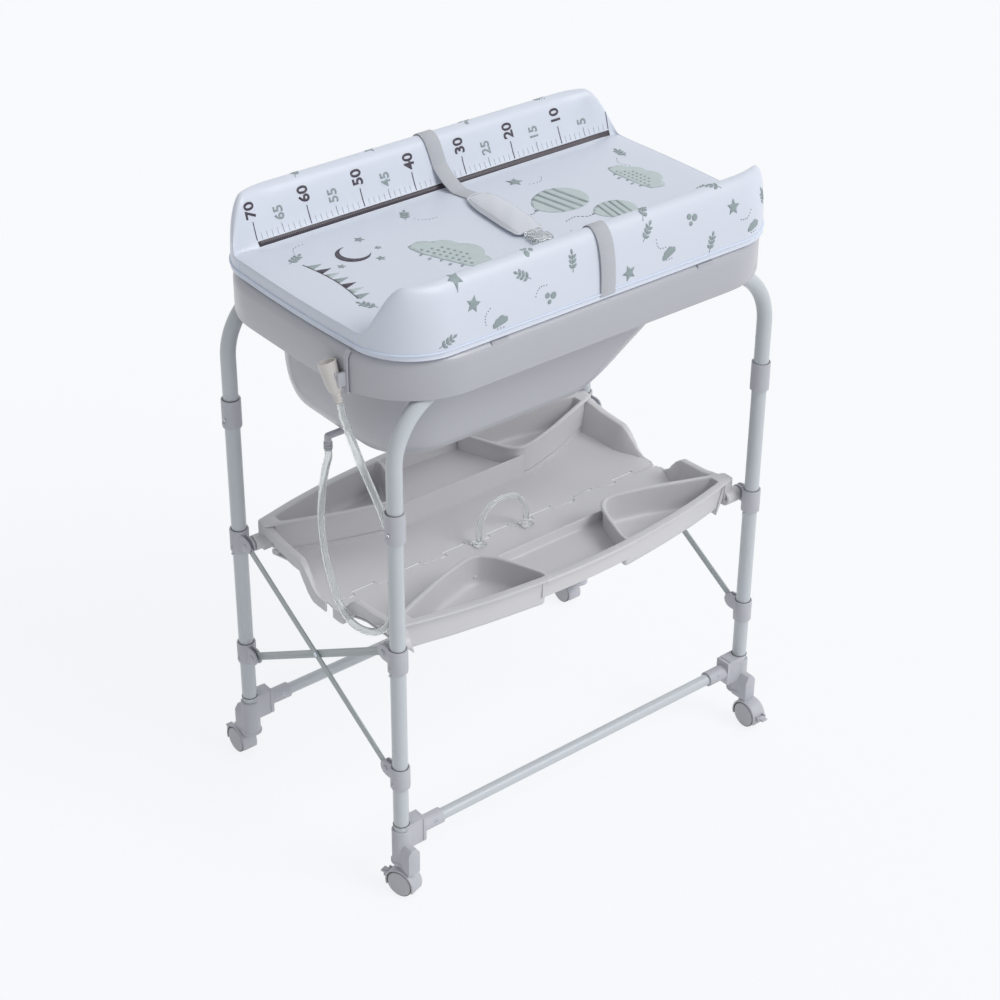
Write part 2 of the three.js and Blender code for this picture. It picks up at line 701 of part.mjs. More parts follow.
function makeTrayHalf(name, sy) {
  const { halfLength, floorZ, wall, rimZ, seamGap, fingerDepth, innerWallY } = tray;
  const floorLow = floorZ - wall;
  const riserLow = floorZ - wall / 2;
  const y = (value) => sy * value;
  const solids = [];

  // Floor plate up to the pockets, with square fingers that reach past the seam
  const fingerCount = Math.floor((halfLength * 2) / tray.fingerPitch);
  const start = -tray.fingerPitch * fingerCount / 2;
  const notchY = seamGap * 2 + fingerDepth;
  const footLine = pocketOutline(1, 1, skinLow).inner.slice(pocketCornerShares.length);
  const endLine = floorEndLine(notchY, footLine[footLine.length - 1][1]);
  const underRiser = footLine.map(([px, py]) => [px, py + wall * 1.5]).reverse();
  const rightEdge = [...endLine, ...underRiser];
  const floorOutline = [...rightEdge, ...[...rightEdge].reverse().map(([px, py]) => [-px, py])]
    .map(([px, py]) => [px, y(py)]);
  solids.push(alongZ(polygon(floorOutline), floorLow, floorZ));
  for (let i = 0; i < fingerCount; i += 1) {
    const mine = (i % 2 === 0) === (sy > 0);
    if (mine) {
      const x0 = start + i * tray.fingerPitch + tray.fingerSideGap / 2;
      const x1 = x0 + tray.fingerPitch - tray.fingerSideGap;
      solids.push(box(x0, x1, y(-fingerDepth), y(notchY + wall), floorLow, floorZ));
      const knuckleZ = floorLow - tray.knuckleRadius + wall / 2;
      const inset = wall * 2;
      solids.push(rod(
        tray.knuckleRadius, at(x0 + inset, y(seamGap + fingerDepth), knuckleZ),
        at(x1 - inset, y(seamGap + fingerDepth), knuckleZ), 6,
      ));
    }
  }

  // Middle shelf between the deep pockets, a step above the floor
  const shelfInner = innerWallY + wall;
  const rimShares = [1, 0.5, 0, -0.5, -1];
  const rimLine = rimShares.map((share) => share * (cornerX + wall)).map((x) => [x, trayEdgeY(x)]);
  const inward = (distance) => rimLine.map(([px, py]) => [px, py - distance]);
  const shelfInnerLine = [[-cornerRoundX, shelfInner], [cornerRoundX, shelfInner]];
  const shelfSide = [...shelfInnerLine, ...inward(rimWidth)].map(([px, py]) => [px, y(py)]);
  const bayInnerLine = shelfInnerLine.map(([px, py]) => [px, py + wall]);
  const bay = [...bayInnerLine, ...inward(rimWidth + wall)].map(([px, py]) => [px, y(py)]);
  const rimBand = [...rimLine, ...inward(rimWidth + wall).reverse()].map(([px, py]) => [px, y(py)]);
  solids.push(alongZ(polygon(rimBand), rimZ - tray.lipHeight, rimZ));
  const shelfWide = cornerX * 0.62;
  solids.push(
    alongZ(polygon(shelfSide), shelfZ - wall, rimZ)
      .subtract(alongZ(polygon(bay), shelfZ, rimZ + cutOverrun))
      .subtract(box(-cornerRoundX, cornerRoundX, y(innerWallY), y(shelfInner + wall), shelfWallZ, rimZ * 2)),
    box(-cornerRoundX, cornerRoundX, y(innerWallY), y(shelfInner), riserLow, shelfWallZ),
    box(-shelfWide, shelfWide, y(innerWallY), y(shelfInner + wall), shelfZ - wall, shelfZ),
  );

  // Deep pockets, their outer walls drafted, on a riser from the floor plate
  const cavities = [];
  for (const sx of [-1, 1]) {
    solids.push(pocketPrism(sx, sy, skinLow, skinHigh, pocketBottomZ, rimZ));
    solids.push(pocketPrism(sx, sy, rimPlan, rimPlan, rimZ - tray.lipHeight, rimZ));
    cavities.push(pocketPrism(sx, sy, hollowLow, hollowHigh, pocketBottomZ + wall, rimZ + cutOverrun));
    const foot = pocketOutline(sx, sy, skinLow).inner;
    const back = foot.map(([px, py]) => [px, py + y(wall * 2)]).reverse();
    solids.push(alongZ(polygon([...foot, ...back]), riserLow, pocketBottomZ + wall));

    // End band, corner wall and boss on the pivot line
    solids.push(endBand(sx, sy));
    const bossY = y(pivotY);
    const cornerLow = pivotHighZ - tray.bossRadius;
    solids.push(box(
      sx * (halfLength - tray.bossWall), sx * halfLength, y(pivotY - tray.bossRadius + wall / 2), y(pivotY + wall),
      cornerLow, rimZ - wall,
    ));
    solids.push(rod(
      tray.bossRadius, at(sx * (halfLength - tray.bossWall), bossY, pivotHighZ), at(sx * tray.bossEndX, bossY, pivotHighZ),
    ));
  }

  let body = joined(...solids);
  for (const cavity of cavities) body = body.subtract(cavity);
  for (const sx of [-1, 1]) {
    const from = at(sx * (halfLength - tray.bossWall + wall), y(pivotY), pivotHighZ);
    const to = at(sx * (tray.bossEndX + cutOverrun), y(pivotY), pivotHighZ);
    const keep = rod(tray.bossRadius, at(from.x - sx * wall * 2, from.y, from.z), at(sx * tray.bossEndX, from.y, from.z));
    body = body.add(keep).subtract(rod(ear.pinRadius + brace.holeGap, from, to, 12));
  }
  return piece(name, body, paint.tray);
}

const liftLoop = { tubeRadius: 5, centreX: -4, footX: 50, topZ: 506, plate: 20, plateHeight: 4, offsetY: 14 };

function makeLiftLoop(name) {
  const y = -liftLoop.offsetY;
  const baseZ = tray.floorZ + runningGap;
  const { centreX } = liftLoop;
  const stations = [at(centreX - liftLoop.footX, y, baseZ + liftLoop.plateHeight / 2)];
  const steps = 10;
  const springZ = liftLoop.topZ - liftLoop.footX - liftLoop.tubeRadius;
  for (let i = 0; i <= steps; i += 1) {
    const turn = Math.PI * (1 - i / steps);
    stations.push(at(centreX + liftLoop.footX * Math.cos(turn), y, springZ + liftLoop.footX * Math.sin(turn)));
  }
  stations.push(at(centreX + liftLoop.footX, y, baseZ + liftLoop.plateHeight / 2));
  const half = liftLoop.plate / 2;
  const plates = [-1, 1].map((sx) => box(
    centreX + sx * liftLoop.footX - half, centreX + sx * liftLoop.footX + half, y - half, y + half,
    baseZ, baseZ + liftLoop.plateHeight,
  ));
  return piece(name, joined(tube(stations, liftLoop.tubeRadius, 0, 8), ...plates), paint.clear);
}

// Rounded rectangle in plan with bowed ends, always the same count of points.
function planRing({ left, right, halfY, radius, z, bow = 0 }) {
  const points = [];
  const cornerSteps = 5;
  const corners = [
    [right - radius, halfY - radius, 0],
    [left + radius, halfY - radius, 1],
    [left + radius, -halfY + radius, 2],
    [right - radius, -halfY + radius, 3],
  ];
  const middleShares = [0.25, 0.5, 0.75];
  corners.forEach(([cx, cy, quarter], i) => {
    for (let s = 0; s <= cornerSteps; s += 1) {
      const turn = (quarter + s / cornerSteps) * (Math.PI / 2);
      points.push([cx + radius * Math.cos(turn), cy + radius * Math.sin(turn)]);
    }
    const next = corners[(i + 1) % 4];
    const turn = (quarter + 1) * (Math.PI / 2);
    const from = [cx + radius * Math.cos(turn), cy + radius * Math.sin(turn)];
    const to = [next[0] + radius * Math.cos(turn), next[1] + radius * Math.sin(turn)];
    for (const share of middleShares) points.push([mixed(from[0], to[0], share), mixed(from[1], to[1], share)]);
  });
  return points.map(([x, y]) => {
    const end = x > 0 ? right : left;
    const bulge = bow * (1 - Math.min(1, (y / halfY) ** 2)) * clamped((Math.abs(x) - Math.abs(end) * 0.6) / (Math.abs(end) * 0.4));
    return at(x + Math.sign(x) * bulge, y, z);
  });
}

// Bathtub: a shell with a deep rim skirt that hides the stand's top tubes
const tub = {
  wall: 3,
  bottomZ: rimTopZ - fit.tubDepth,
  bodyHalfX: legX + fit.rimBeyondLeg - fit.bodyInsideRim,
  bodyHalfY: legY - fit.bodyInsideTube,
  rimHalfX: legX + fit.rimBeyondLeg,
  rimHalfY: legY + fit.rimBeyondTube,
  rimBow: 5,
  rimRadius: 134,
  rimRound: 16,
  skirtBottomZ: rimTopZ - fit.skirtDepth,
  lipRound: 8,
  drainShare: 0.6514,
  drainY: 8,
  drainRadius: 9,
  saddleX: 200,
  saddleLength: 30,
};

const drainX = -tub.bodyHalfX * tub.drainShare;

// Shares of the tub's depth, half length to the left and right, half breadth and corner radius.
const tubSectionShares = [
  [1, 0.72, 0.2, 0.56, 0.5],
  [0.985, 0.87, 0.26, 0.68, 0.55],
  [0.94, 0.915, 0.32, 0.735, 0.6],
  [0.86, 0.955, 0.41, 0.765, 0.62],
  [0.7, 0.985, 0.55, 0.8, 0.64],
  [0.45, 0.992, 0.755, 0.86, 0.66],
  [0.2, 0.995, 0.9, 0.95, 0.68],
];

function tubRing(shares, inset, z) {
  const [, left, right, side, corner] = shares;
  const halfY = tub.bodyHalfY * side - inset;
  return planRing({
    left: -tub.bodyHalfX * left + inset,
    right: tub.bodyHalfX * right - inset,
    halfY,
    radius: halfY * corner,
    z,
  });
}

function rimRing(outset, z) {
  return planRing({
    left: -tub.rimHalfX - outset,
    right: tub.rimHalfX + outset,
    halfY: tub.rimHalfY + outset,
    radius: tub.rimRadius + outset,
    bow: tub.rimBow,
    z,
  });
}

function makeTub(name) {
  const { wall, bottomZ, rimRound, lipRound } = tub;
  const depth = rimTopZ - bottomZ;
  const mouth = [0, 1, 0.97, 1, 0.7];
  const rings = [];
  for (const shares of tubSectionShares) rings.push(tubRing(shares, 0, rimTopZ - depth * shares[0]));
  rings.push(tubRing(mouth, 0, rimTopZ - wall - lipRound / 2));
  rings.push(tubRing(mouth, -lipRound / 2, rimTopZ - wall));
  const underRound = rimRound - wall;
  rings.push(rimRing(-rimRound, rimTopZ - wall));
  rings.push(rimRing(-wall - underRound * 0.3, rimTopZ - wall - underRound * 0.3));
  rings.push(rimRing(-wall, rimTopZ - wall - underRound));
  rings.push(rimRing(-wall, tub.skirtBottomZ));
  rings.push(rimRing(0, tub.skirtBottomZ));
  rings.push(rimRing(0, rimTopZ - rimRound));
  rings.push(rimRing(-rimRound * 0.3, rimTopZ - rimRound * 0.3));
  rings.push(rimRing(-rimRound, rimTopZ));
  rings.push(tubRing(mouth, wall - lipRound, rimTopZ));
  rings.push(tubRing(mouth, wall, rimTopZ - lipRound));
  for (const shares of [...tubSectionShares].reverse()) {
    rings.push(tubRing(shares, wall, rimTopZ - (depth - wall) * shares[0]));
  }
  let body = loft(rings);

  const half = tub.saddleLength / 2;
  const tubeTopZ = bendStartZ + bendRadius + tubeRadius + runningGap;
  for (const sx of [-1, 1]) {
    for (const sy of [-1, 1]) {
      const x = sx * tub.saddleX;
      const inner = sy * (legY - tubeRadius);
      const outer = sy * (tub.rimHalfY - wall / 2);
      body = body.add(box(x - half, x + half, inner, outer, tubeTopZ, rimTopZ - wall / 2));
    }
  }
  const drain = rod(
    tub.drainRadius, at(drainX, tub.drainY, bottomZ - cutOverrun),
    at(drainX, tub.drainY, bottomZ + wall + cutOverrun),
  );
  return piece(name, body.subtract(drain), paint.tub);
}

const plug = { flangeRadius: 12, flangeHeight: 2, knobRadius: 3.5, knobHeight: 6, gap: 0.4 };

function makePlug(name) {
  const { drainY, bottomZ, wall, drainRadius } = tub;
  const seat = bottomZ + wall + runningGap;
  const column = (radius, z0, z1) => rod(radius, at(drainX, drainY, z0), at(drainX, drainY, z1), 14);
  const body = joined(
    column(drainRadius - plug.gap, bottomZ + wall / 2, seat + plug.flangeHeight),
    column(plug.flangeRadius, seat, seat + plug.flangeHeight),
    column(plug.knobRadius, seat, seat + plug.flangeHeight + plug.knobHeight),
  );
  return piece(name, body, paint.fitting);
}

// Drain elbow, hose and the cup end that hangs on the rim
const drain = {
  flangeRadius: 16,
  flangeHeight: 3,
  barrelRadius: 10,
  pipeRadius: 5.5,
  bore: 3.6,
  pipeDrop: 6.5,
  turnInset: 20,
  spigotDrop: 30,
  ribRadius: 7.2,
  ribHeight: 1.6,
  ribPitch: 4.5,
  ribCount: 3,
};

const elbowTurnX = drain.turnInset - tub.bodyHalfX;
const spigotEndZ = tub.bottomZ - drain.spigotDrop;

function makeDrainElbow(name) {
  const { drainY, bottomZ } = tub;
  const topZ = bottomZ - runningGap;
  const pipeZ = bottomZ - drain.pipeDrop;
  const barrelLow = pipeZ - drain.pipeRadius;
  const corner = at(elbowTurnX, drainY, pipeZ);
  const end = at(elbowTurnX, drainY, spigotEndZ);
  const hub = at(drainX, drainY, pipeZ);
  const turn = new THREE.SphereGeometry(drain.pipeRadius, 10, 6);
  turn.translate(corner.x, corner.y, corner.z);
  let body = joined(
    rod(drain.flangeRadius, at(drainX, drainY, topZ - drain.flangeHeight), at(drainX, drainY, topZ), 14),
    rod(drain.barrelRadius, at(drainX, drainY, barrelLow), at(drainX, drainY, topZ), 12),
    rod(drain.pipeRadius, hub, corner, 12),
    rod(drain.pipeRadius, corner, end, 12),
    solid(turn),
  );
  for (let i = 0; i < drain.ribCount; i += 1) {
    const z = spigotEndZ + drain.ribPitch * (i + 0.5);
    body = body.add(rod(drain.ribRadius, at(end.x, end.y, z), at(end.x, end.y, z + drain.ribHeight), 10));
  }
  const bores = [
    rod(drain.barrelRadius - tub.wall, at(drainX, drainY, pipeZ), at(drainX, drainY, topZ + cutOverrun), 12),
    rod(drain.bore, hub, at(corner.x - drain.bore / 2, corner.y, corner.z), 8),
    rod(drain.bore, at(corner.x, corner.y, corner.z + drain.bore / 2), at(end.x, end.y, end.z - cutOverrun), 8),
  ];
  for (const bore of bores) body = body.subtract(bore);
  return piece(name, body, paint.fitting);
}

const cup = {
  lowOut: 15,
  lowY: -128,
  lowDrop: 2,
  highOut: 19,
  highY: -112,
  highRise: 43,
  topRadius: 14.5,
  footRadius: 7,
  spigotRadius: 6.2,
  spigotLength: 15,
  wall: 1.8,
};

const cupLow = at(-tub.rimHalfX - cup.lowOut, cup.lowY, tub.skirtBottomZ - cup.lowDrop);
const cupHigh = at(-tub.rimHalfX - cup.highOut, cup.highY, tub.skirtBottomZ + cup.highRise);

function makeHoseCup(name) {
  const length = cupHigh.distanceTo(cupLow);
  const { topRadius, footRadius, spigotRadius, spigotLength, wall } = cup;
  const profile = [
    [spigotRadius, -spigotLength], [footRadius, 0], [topRadius, length], [topRadius - wall, length],
    [footRadius - wall, wall], [drain.bore, 0], [drain.bore, -spigotLength],
  ];
  for (let i = drain.ribCount - 1; i >= 0; i -= 1) {
    const z = -spigotLength + drain.ribPitch * (i + 0.5);
    profile.splice(1, 0, [spigotRadius, z], [drain.ribRadius, z + drain.ribHeight / 2], [spigotRadius, z + drain.ribHeight]);
  }
  profile.push(profile[0]);
  const geometry = new THREE.LatheGeometry(profile.map(([r, z]) => new THREE.Vector2(r, z)), 14);
  const axis = new THREE.Vector3().subVectors(cupHigh, cupLow).normalize();
  geometry.applyQuaternion(new THREE.Quaternion().setFromUnitVectors(at(0, 1, 0), axis));
  geometry.translate(cupLow.x, cupLow.y, cupLow.z);
  return piece(name, solid(geometry), paint.fitting);
}

const hose = { radius: 6, sides: 8, steps: 30, straight: 12, trayGap: 2.5, lowY: -82, lowRise: 12 };

// The way down from the straight exit to the lowest point, as shares of the run in x, y and z.
const hoseDownShares = [
  [0.145, -0.033, 0.08],
  [0.364, -0.044, 0.213],
  [0.655, 0, 0.402],
  [0.909, 0.156, 0.57],
  [1, 0.367, 0.767],
  [1, 0.644, 0.944],
  [1, 1, 1],
];

// The way up from the lowest point to the straight end below the cup.
const hoseUpShares = [
  [0, 0.778, 0.019],
  [-0.011, 1.501, 0.086],
  [-0.077, 1.881, 0.193],
  [-0.122, 2.007, 0.313],
  [-0.055, 1.971, 0.444],
  [0.144, 1.844, 0.556],
  [0.365, 1.736, 0.652],
  [0.608, 1.429, 0.774],
  [0.808, 1.157, 0.891],
  [0.94, 0.958, 0.977],
];

// Route of the hanging hose, from the elbow's spigot to the spigot of the cup.
function hoseRoute() {
  const axis = new THREE.Vector3().subVectors(cupLow, cupHigh).normalize();
  const end = cupLow.clone().addScaledVector(axis, cup.spigotLength + runningGap * 3);
  const ahead = end.clone().addScaledVector(axis, hose.straight);
  const start = at(elbowTurnX, tub.drainY, spigotEndZ - runningGap);
  const below = at(elbowTurnX, tub.drainY, spigotEndZ - hose.straight);
  const low = at(-tray.halfLength - hose.radius - hose.trayGap, hose.lowY, tray.floorZ + hose.lowRise);
  const between = (from, to, [x, y, z]) => at(mixed(from.x, to.x, x), mixed(from.y, to.y, y), mixed(from.z, to.z, z));
  return [
    start,
    below,
    ...hoseDownShares.map((shares) => between(below, low, shares)),
    ...hoseUpShares.map((shares) => between(low, ahead, shares)),
    ahead,
    end,
  ];
}

function makeHose(name) {
  const route = hoseRoute();
  const curve = new THREE.CatmullRomCurve3(route.slice(1, -1), false, 'centripetal');
  const stations = [route[0], ...curve.getSpacedPoints(hose.steps), route[route.length - 1]];
  return piece(name, tube(stations, hose.radius, 0, hose.sides), paint.clear);
}

const hook = { y: -137, width: 9, strip: 2, lip: 7, startTurn: 0.95, tabHeight: 22, tabDepth: 5 };

// Clip over the rim's skirt, its face set off from the skirt by the running gap.
function makeHoseHook(name) {
  const cornerY = tub.rimHalfY - tub.rimRadius;
  const past = Math.max(0, Math.abs(hook.y) + hook.width / 2 - cornerY);
  const drop = tub.rimRadius - Math.sqrt(tub.rimRadius ** 2 - past ** 2);
  const skirtX = tub.rimHalfX + tub.rimBow - drop + runningGap;
  const centreX = skirtX - tub.rimRound;
  const centreZ = rimTopZ - tub.rimRound;
  const inner = tub.rimRound + runningGap;
  const outer = inner + hook.strip;
  const lowZ = tub.skirtBottomZ - runningGap;
  const shape = new THREE.Shape();
  shape.moveTo(-(centreX + inner * Math.cos(hook.startTurn)), centreZ + inner * Math.sin(hook.startTurn));
  shape.absarc(-centreX, centreZ, inner, Math.PI - hook.startTurn, Math.PI, false);
  shape.lineTo(-(centreX + inner), lowZ);
  shape.lineTo(-(centreX + inner) + hook.lip, lowZ);
  shape.lineTo(-(centreX + inner) + hook.lip, lowZ - hook.strip);
  shape.lineTo(-(centreX + outer), lowZ - hook.strip);
  shape.absarc(-centreX, centreZ, outer, Math.PI, Math.PI - hook.startTurn, true);
  shape.closePath();
  const half = hook.width / 2;
  const strip = alongY(shape, hook.y - half, hook.y + half, 4);
  const middle = cupLow.clone().lerp(cupHigh, 0.5);
  const tab = box(
    -(centreX + outer), middle.x, hook.y + half, hook.y + half - hook.tabDepth,
    middle.z - hook.tabHeight / 2, middle.z + hook.tabHeight / 2,
  );
  const arm = box(
    middle.x - hook.strip, middle.x + hook.strip, hook.y + half, middle.y,
    middle.z - hook.tabHeight / 2, middle.z + hook.tabHeight / 2,
  );
  const clearance = rod(
    cup.footRadius + runningGap * 2, cupLow, cupHigh, 14, cup.topRadius + runningGap * 2,
  );
  return piece(name, joined(strip, tab, arm).subtract(clearance), paint.fitting);
}

// Changing mat: a padded trough, open at both ends
const mat = {
  halfX: tub.rimHalfX - fit.matInsideEnds,
  halfY: tub.rimHalfY - fit.matInsideSides,
  bow: 11,
  cornerRadius: 92,
  endHeight: 27,
  wallHeight: 105,
  floorHalfY: tub.rimHalfY - fit.matInsideSides - fit.matWallBreadth,
  edgeInset: 5,
  crown: 2,
};

// The wall's outer face, crest and inner face as shares of its height and of its foot's breadth.
const matWallShares = [
  [0.06, 0],
  [0.45, 0.035],
  [0.78, 0.12],
  [0.95, 0.24],
  [1, 0.37],
  [0.94, 0.52],
  [0.75, 0.66],
  [0.4, 0.86],
];

const matClimbTurn = 1.08;

function makeMat(name) {
  const base = planRing({
    left: -mat.halfX, right: mat.halfX, halfY: mat.halfY, radius: mat.cornerRadius, bow: mat.bow, z: matBaseZ,
  });
  const insetRing = (inset, z) => planRing({
    left: -mat.halfX + inset, right: mat.halfX - inset, halfY: mat.halfY - inset,
    radius: mat.cornerRadius - inset, bow: mat.bow, z,
  });
  const cornerX = mat.halfX - mat.cornerRadius;
  const cornerY = mat.halfY - mat.cornerRadius;
  // Round each corner the wall climbs from the floor's height to its own.
  const wallShare = (p) => {
    if (Math.abs(p.x) <= cornerX) return 1;
    const turn = Math.atan2(Math.abs(p.y) - cornerY, Math.abs(p.x) - cornerX);
    return eased(clamped(turn / matClimbTurn));
  };
  const footY = (p) => Math.min(mat.floorHalfY, Math.abs(p.y) - mat.edgeInset);
  const floorX = (p) => Math.sign(p.x) * Math.min(Math.abs(p.x), mat.halfX + mat.bow - mat.edgeInset);
  const onEnd = (p) => Math.abs(p.y) < mat.floorHalfY - mat.edgeInset;
  const rings = [insetRing(mat.edgeInset, matBaseZ)];
  for (const [heightShare, breadthShare] of matWallShares) {
    rings.push(base.map((p) => {
      const raise = onEnd(p) ? 0 : wallShare(p);
      const top = mixed(mat.endHeight, mat.wallHeight, raise);
      const breadth = onEnd(p) ? 0 : Math.abs(p.y) - footY(p);
      const inward = onEnd(p) ? mat.edgeInset * breadthShare : 0;
      const floorLift = mat.endHeight * Math.max(0, breadthShare - matWallShares[4][1]) * heightShare;
      const z = matBaseZ + (breadthShare > matWallShares[4][1]
        ? Math.max(top * heightShare, mat.endHeight * 0.98 + floorLift * 0.01)
        : top * heightShare);
      return at(p.x - Math.sign(p.x) * inward, p.y - Math.sign(p.y) * breadth * breadthShare, z);
    }));
  }
  const floorZ = matBaseZ + mat.endHeight;
  rings.push(base.map((p) => {
    const y = onEnd(p) ? p.y : Math.sign(p.y) * footY(p);
    return at(floorX(p) - Math.sign(p.x) * mat.edgeInset, y, floorZ);
  }));
  const innerShare = 0.55;
  rings.push(base.map((p) => at(floorX(p) * innerShare, Math.sign(p.y) * Math.min(Math.abs(p.y), footY(p)) * innerShare, floorZ + mat.crown)));
  return piece(name, loft(rings), paint.mat);
}

const strap = {
  x: 15,
  width: 28,
  thickness: 2,
  drift: 16,
  backEndY: 103,
  padLength: 156,
  padWidth: 46,
  padHeight: 10,
  buckleLength: 42,
  buckleWidth: 34,
  buckleHeight: 9,
};

// Sideways drift of the strap along the mat: shares of the mat's half breadth and of the widest drift.
const strapDriftShares = [[1, 0], [0.88, 0], [0.43, 1], [-0.22, -0.06], [-0.4, -0.25], [-0.88, -0.69], [-1, -0.62]];

function drifted(body) {
  return body.warp((point) => {
    const share = point[1] / mat.halfY;
    const after = clampedIndex(strapDriftShares.findIndex(([along]) => along <= share));
    const [fromAlong, fromDrift] = strapDriftShares[after - 1];
    const [toAlong, toDrift] = strapDriftShares[after];
    const part = clamped((fromAlong - share) / (fromAlong - toAlong));
    point[0] += strap.drift * mixed(fromDrift, toDrift, part);
  });
}

function clampedIndex(index) {
  return index < 0 ? strapDriftShares.length - 1 : Math.max(index, 1);
}

// Cross-section line of the mat from its foot over the crest to the floor, on the rear side.
function matProfile() {
  const breadth = mat.halfY - mat.floorHalfY;
  const points = matWallShares.map(([heightShare, breadthShare]) => {
    const height = breadthShare > matWallShares[4][1]
      ? Math.max(mat.wallHeight * heightShare, mat.endHeight)
      : mat.wallHeight * heightShare;
    return [mat.halfY - breadth * breadthShare, matBaseZ + height];
  });
  return points;
}

function strapBand(sy, endY) {
  const line = matProfile();
  const floorZ = matBaseZ + mat.endHeight;
  line.push([mat.floorHalfY, floorZ + runningGap], [endY, floorZ + mat.crown]);
  const offset = (distance) => line.map(([y, z], i) => {
    const before = line[Math.max(i - 1, 0)];
    const after = line[Math.min(i + 1, line.length - 1)];
    const run = new THREE.Vector2(after[0] - before[0], after[1] - before[1]).normalize();
    return [sy * (y + run.y * distance), z - run.x * distance];
  });
  const gap = runningGap * 2;
  return polygon([...offset(gap), ...offset(gap + strap.thickness).reverse()]);
}

function makeStrap(name, sy, endY) {
  const half = strap.width / 2;
  return piece(name, drifted(alongX(strapBand(sy, endY), strap.x - half, strap.x + half)), paint.webbing);
}

function strapFloorZ() {
  return matBaseZ + mat.endHeight + mat.crown + runningGap * 2;
}

function makeStrapPad(name) {
  const from = strap.backEndY - runningGap;
  const to = from - strap.padLength;
  const z = strapFloorZ();
  const widthShares = [0.68, 0.86, 1, 1, 0.94];
  const heightShares = [0.45, 0.9, 1, 0.95, 0.5];
  const rings = widthShares.map((share, i) => {
    const y = mixed(from, to, i / (widthShares.length - 1));
    const half = (strap.padWidth / 2) * share;
    const high = strap.padHeight * heightShares[i];
    const side = [[-1, 0.35], [-0.72, 0], [0.72, 0], [1, 0.35], [0.8, 0.85], [0, 1], [-0.8, 0.85]];
    return side.map(([u, v]) => at(strap.x + half * u, y, z + high * v));
  });
  return piece(name, drifted(loft(rings)), paint.webbing);
}

function buckleSpan() {
  const from = strap.backEndY - strap.padLength - runningGap * 2;
  return [from, from - strap.buckleLength];
}

function makeBuckle(name) {
  const [from, to] = buckleSpan();
  const z = strapFloorZ();
  const half = strap.buckleWidth / 2;
  const shape = new THREE.Shape();
  const round = strap.buckleHeight / 2;
  shape.moveTo(strap.x - half + round, z);
  shape.lineTo(strap.x + half - round, z);
  shape.absarc(strap.x + half - round, z + round, round, -Math.PI / 2, Math.PI / 2, false);
  shape.lineTo(strap.x - half + round, z + strap.buckleHeight);
  shape.absarc(strap.x - half + round, z + round, round, Math.PI / 2, Math.PI * 1.5, false);
  const body = alongY(shape, from, to, 4);
  const windowHalf = strap.buckleWidth * 0.2;
  const middle = (from + to) / 2;
  const window = box(
    strap.x - windowHalf, strap.x + windowHalf, middle - windowHalf, middle + windowHalf, z - cutOverrun,
    z + strap.buckleHeight + cutOverrun,
  );
  return piece(name, drifted(body.subtract(window)), paint.clear);
}

const sidesX = [['left', -1], ['right', 1]];
const sidesY = [['front', -1], ['rear', 1]];
const casterHeadings = { front_left: 0.31, front_right: Math.PI, rear_left: 0, rear_right: 0 };

const table = new THREE.Group();

for (const [row, sy] of sidesY) {
  table.add(makeUpperFrame(`${row}_upper_frame`, sy));
  table.add(makeRail(`${row}_rail`, sy));
  table.add(makeTrayHalf(`tray_${row}_half`, sy));
  for (const [side, sx] of sidesX) {
    const place = `${row}_${side}`;
    table.add(makeLeg(`leg_${place}`, sx, sy));
    table.add(makeJointCollar(`joint_collar_${place}`, sx, sy));
    table.add(makeBracket(`lower_bracket_${place}`, sx, sy, pivotLowZ, collar.lowerHeight, earCentreX - ear.slot));
    table.add(makeBracket(`sliding_bracket_${place}`, sx, sy, pivotHighZ, collar.upperHeight, tray.bossReach));
    table.add(makeFoot(`foot_${place}`, sx, sy));
    table.add(makeRailSleeve(`rail_sleeve_${place}`, sx, sy));
    table.add(makeCaster(`caster_${place}`, sx, sy, casterHeadings[place]));
  }
}
for (const [side, sx] of sidesX) {
  table.add(makeBrace(`brace_outer_${side}`, sx, -1, 1));
  table.add(makeBrace(`brace_inner_${side}`, sx, 1, -1));
  table.add(makeBraceRivet(`brace_rivet_${side}`, sx));
}
table.add(makeLiftLoop('tray_lift_loop'));
table.add(makeTub('bathtub'));
table.add(makePlug('drain_plug'));
table.add(makeDrainElbow('drain_elbow'));
table.add(makeHose('drain_hose'));
table.add(makeHoseCup('hose_cup'));
table.add(makeHoseHook('hose_hook'));
table.add(makeMat('changing_mat'));
table.add(makeStrap('strap_back', 1, strap.backEndY));
table.add(makeStrapPad('strap_pad'));
table.add(makeBuckle('strap_buckle'));
table.add(makeStrap('strap_front', -1, -buckleSpan()[1] + runningGap));

export default table;
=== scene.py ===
import bpy
import bmesh
from math import asin, atan2, cos, hypot, pi, radians, sin, sqrt
from mathutils import Matrix, Vector
from mathutils.bvhtree import BVHTree
from mathutils.geometry import delaunay_2d_cdt


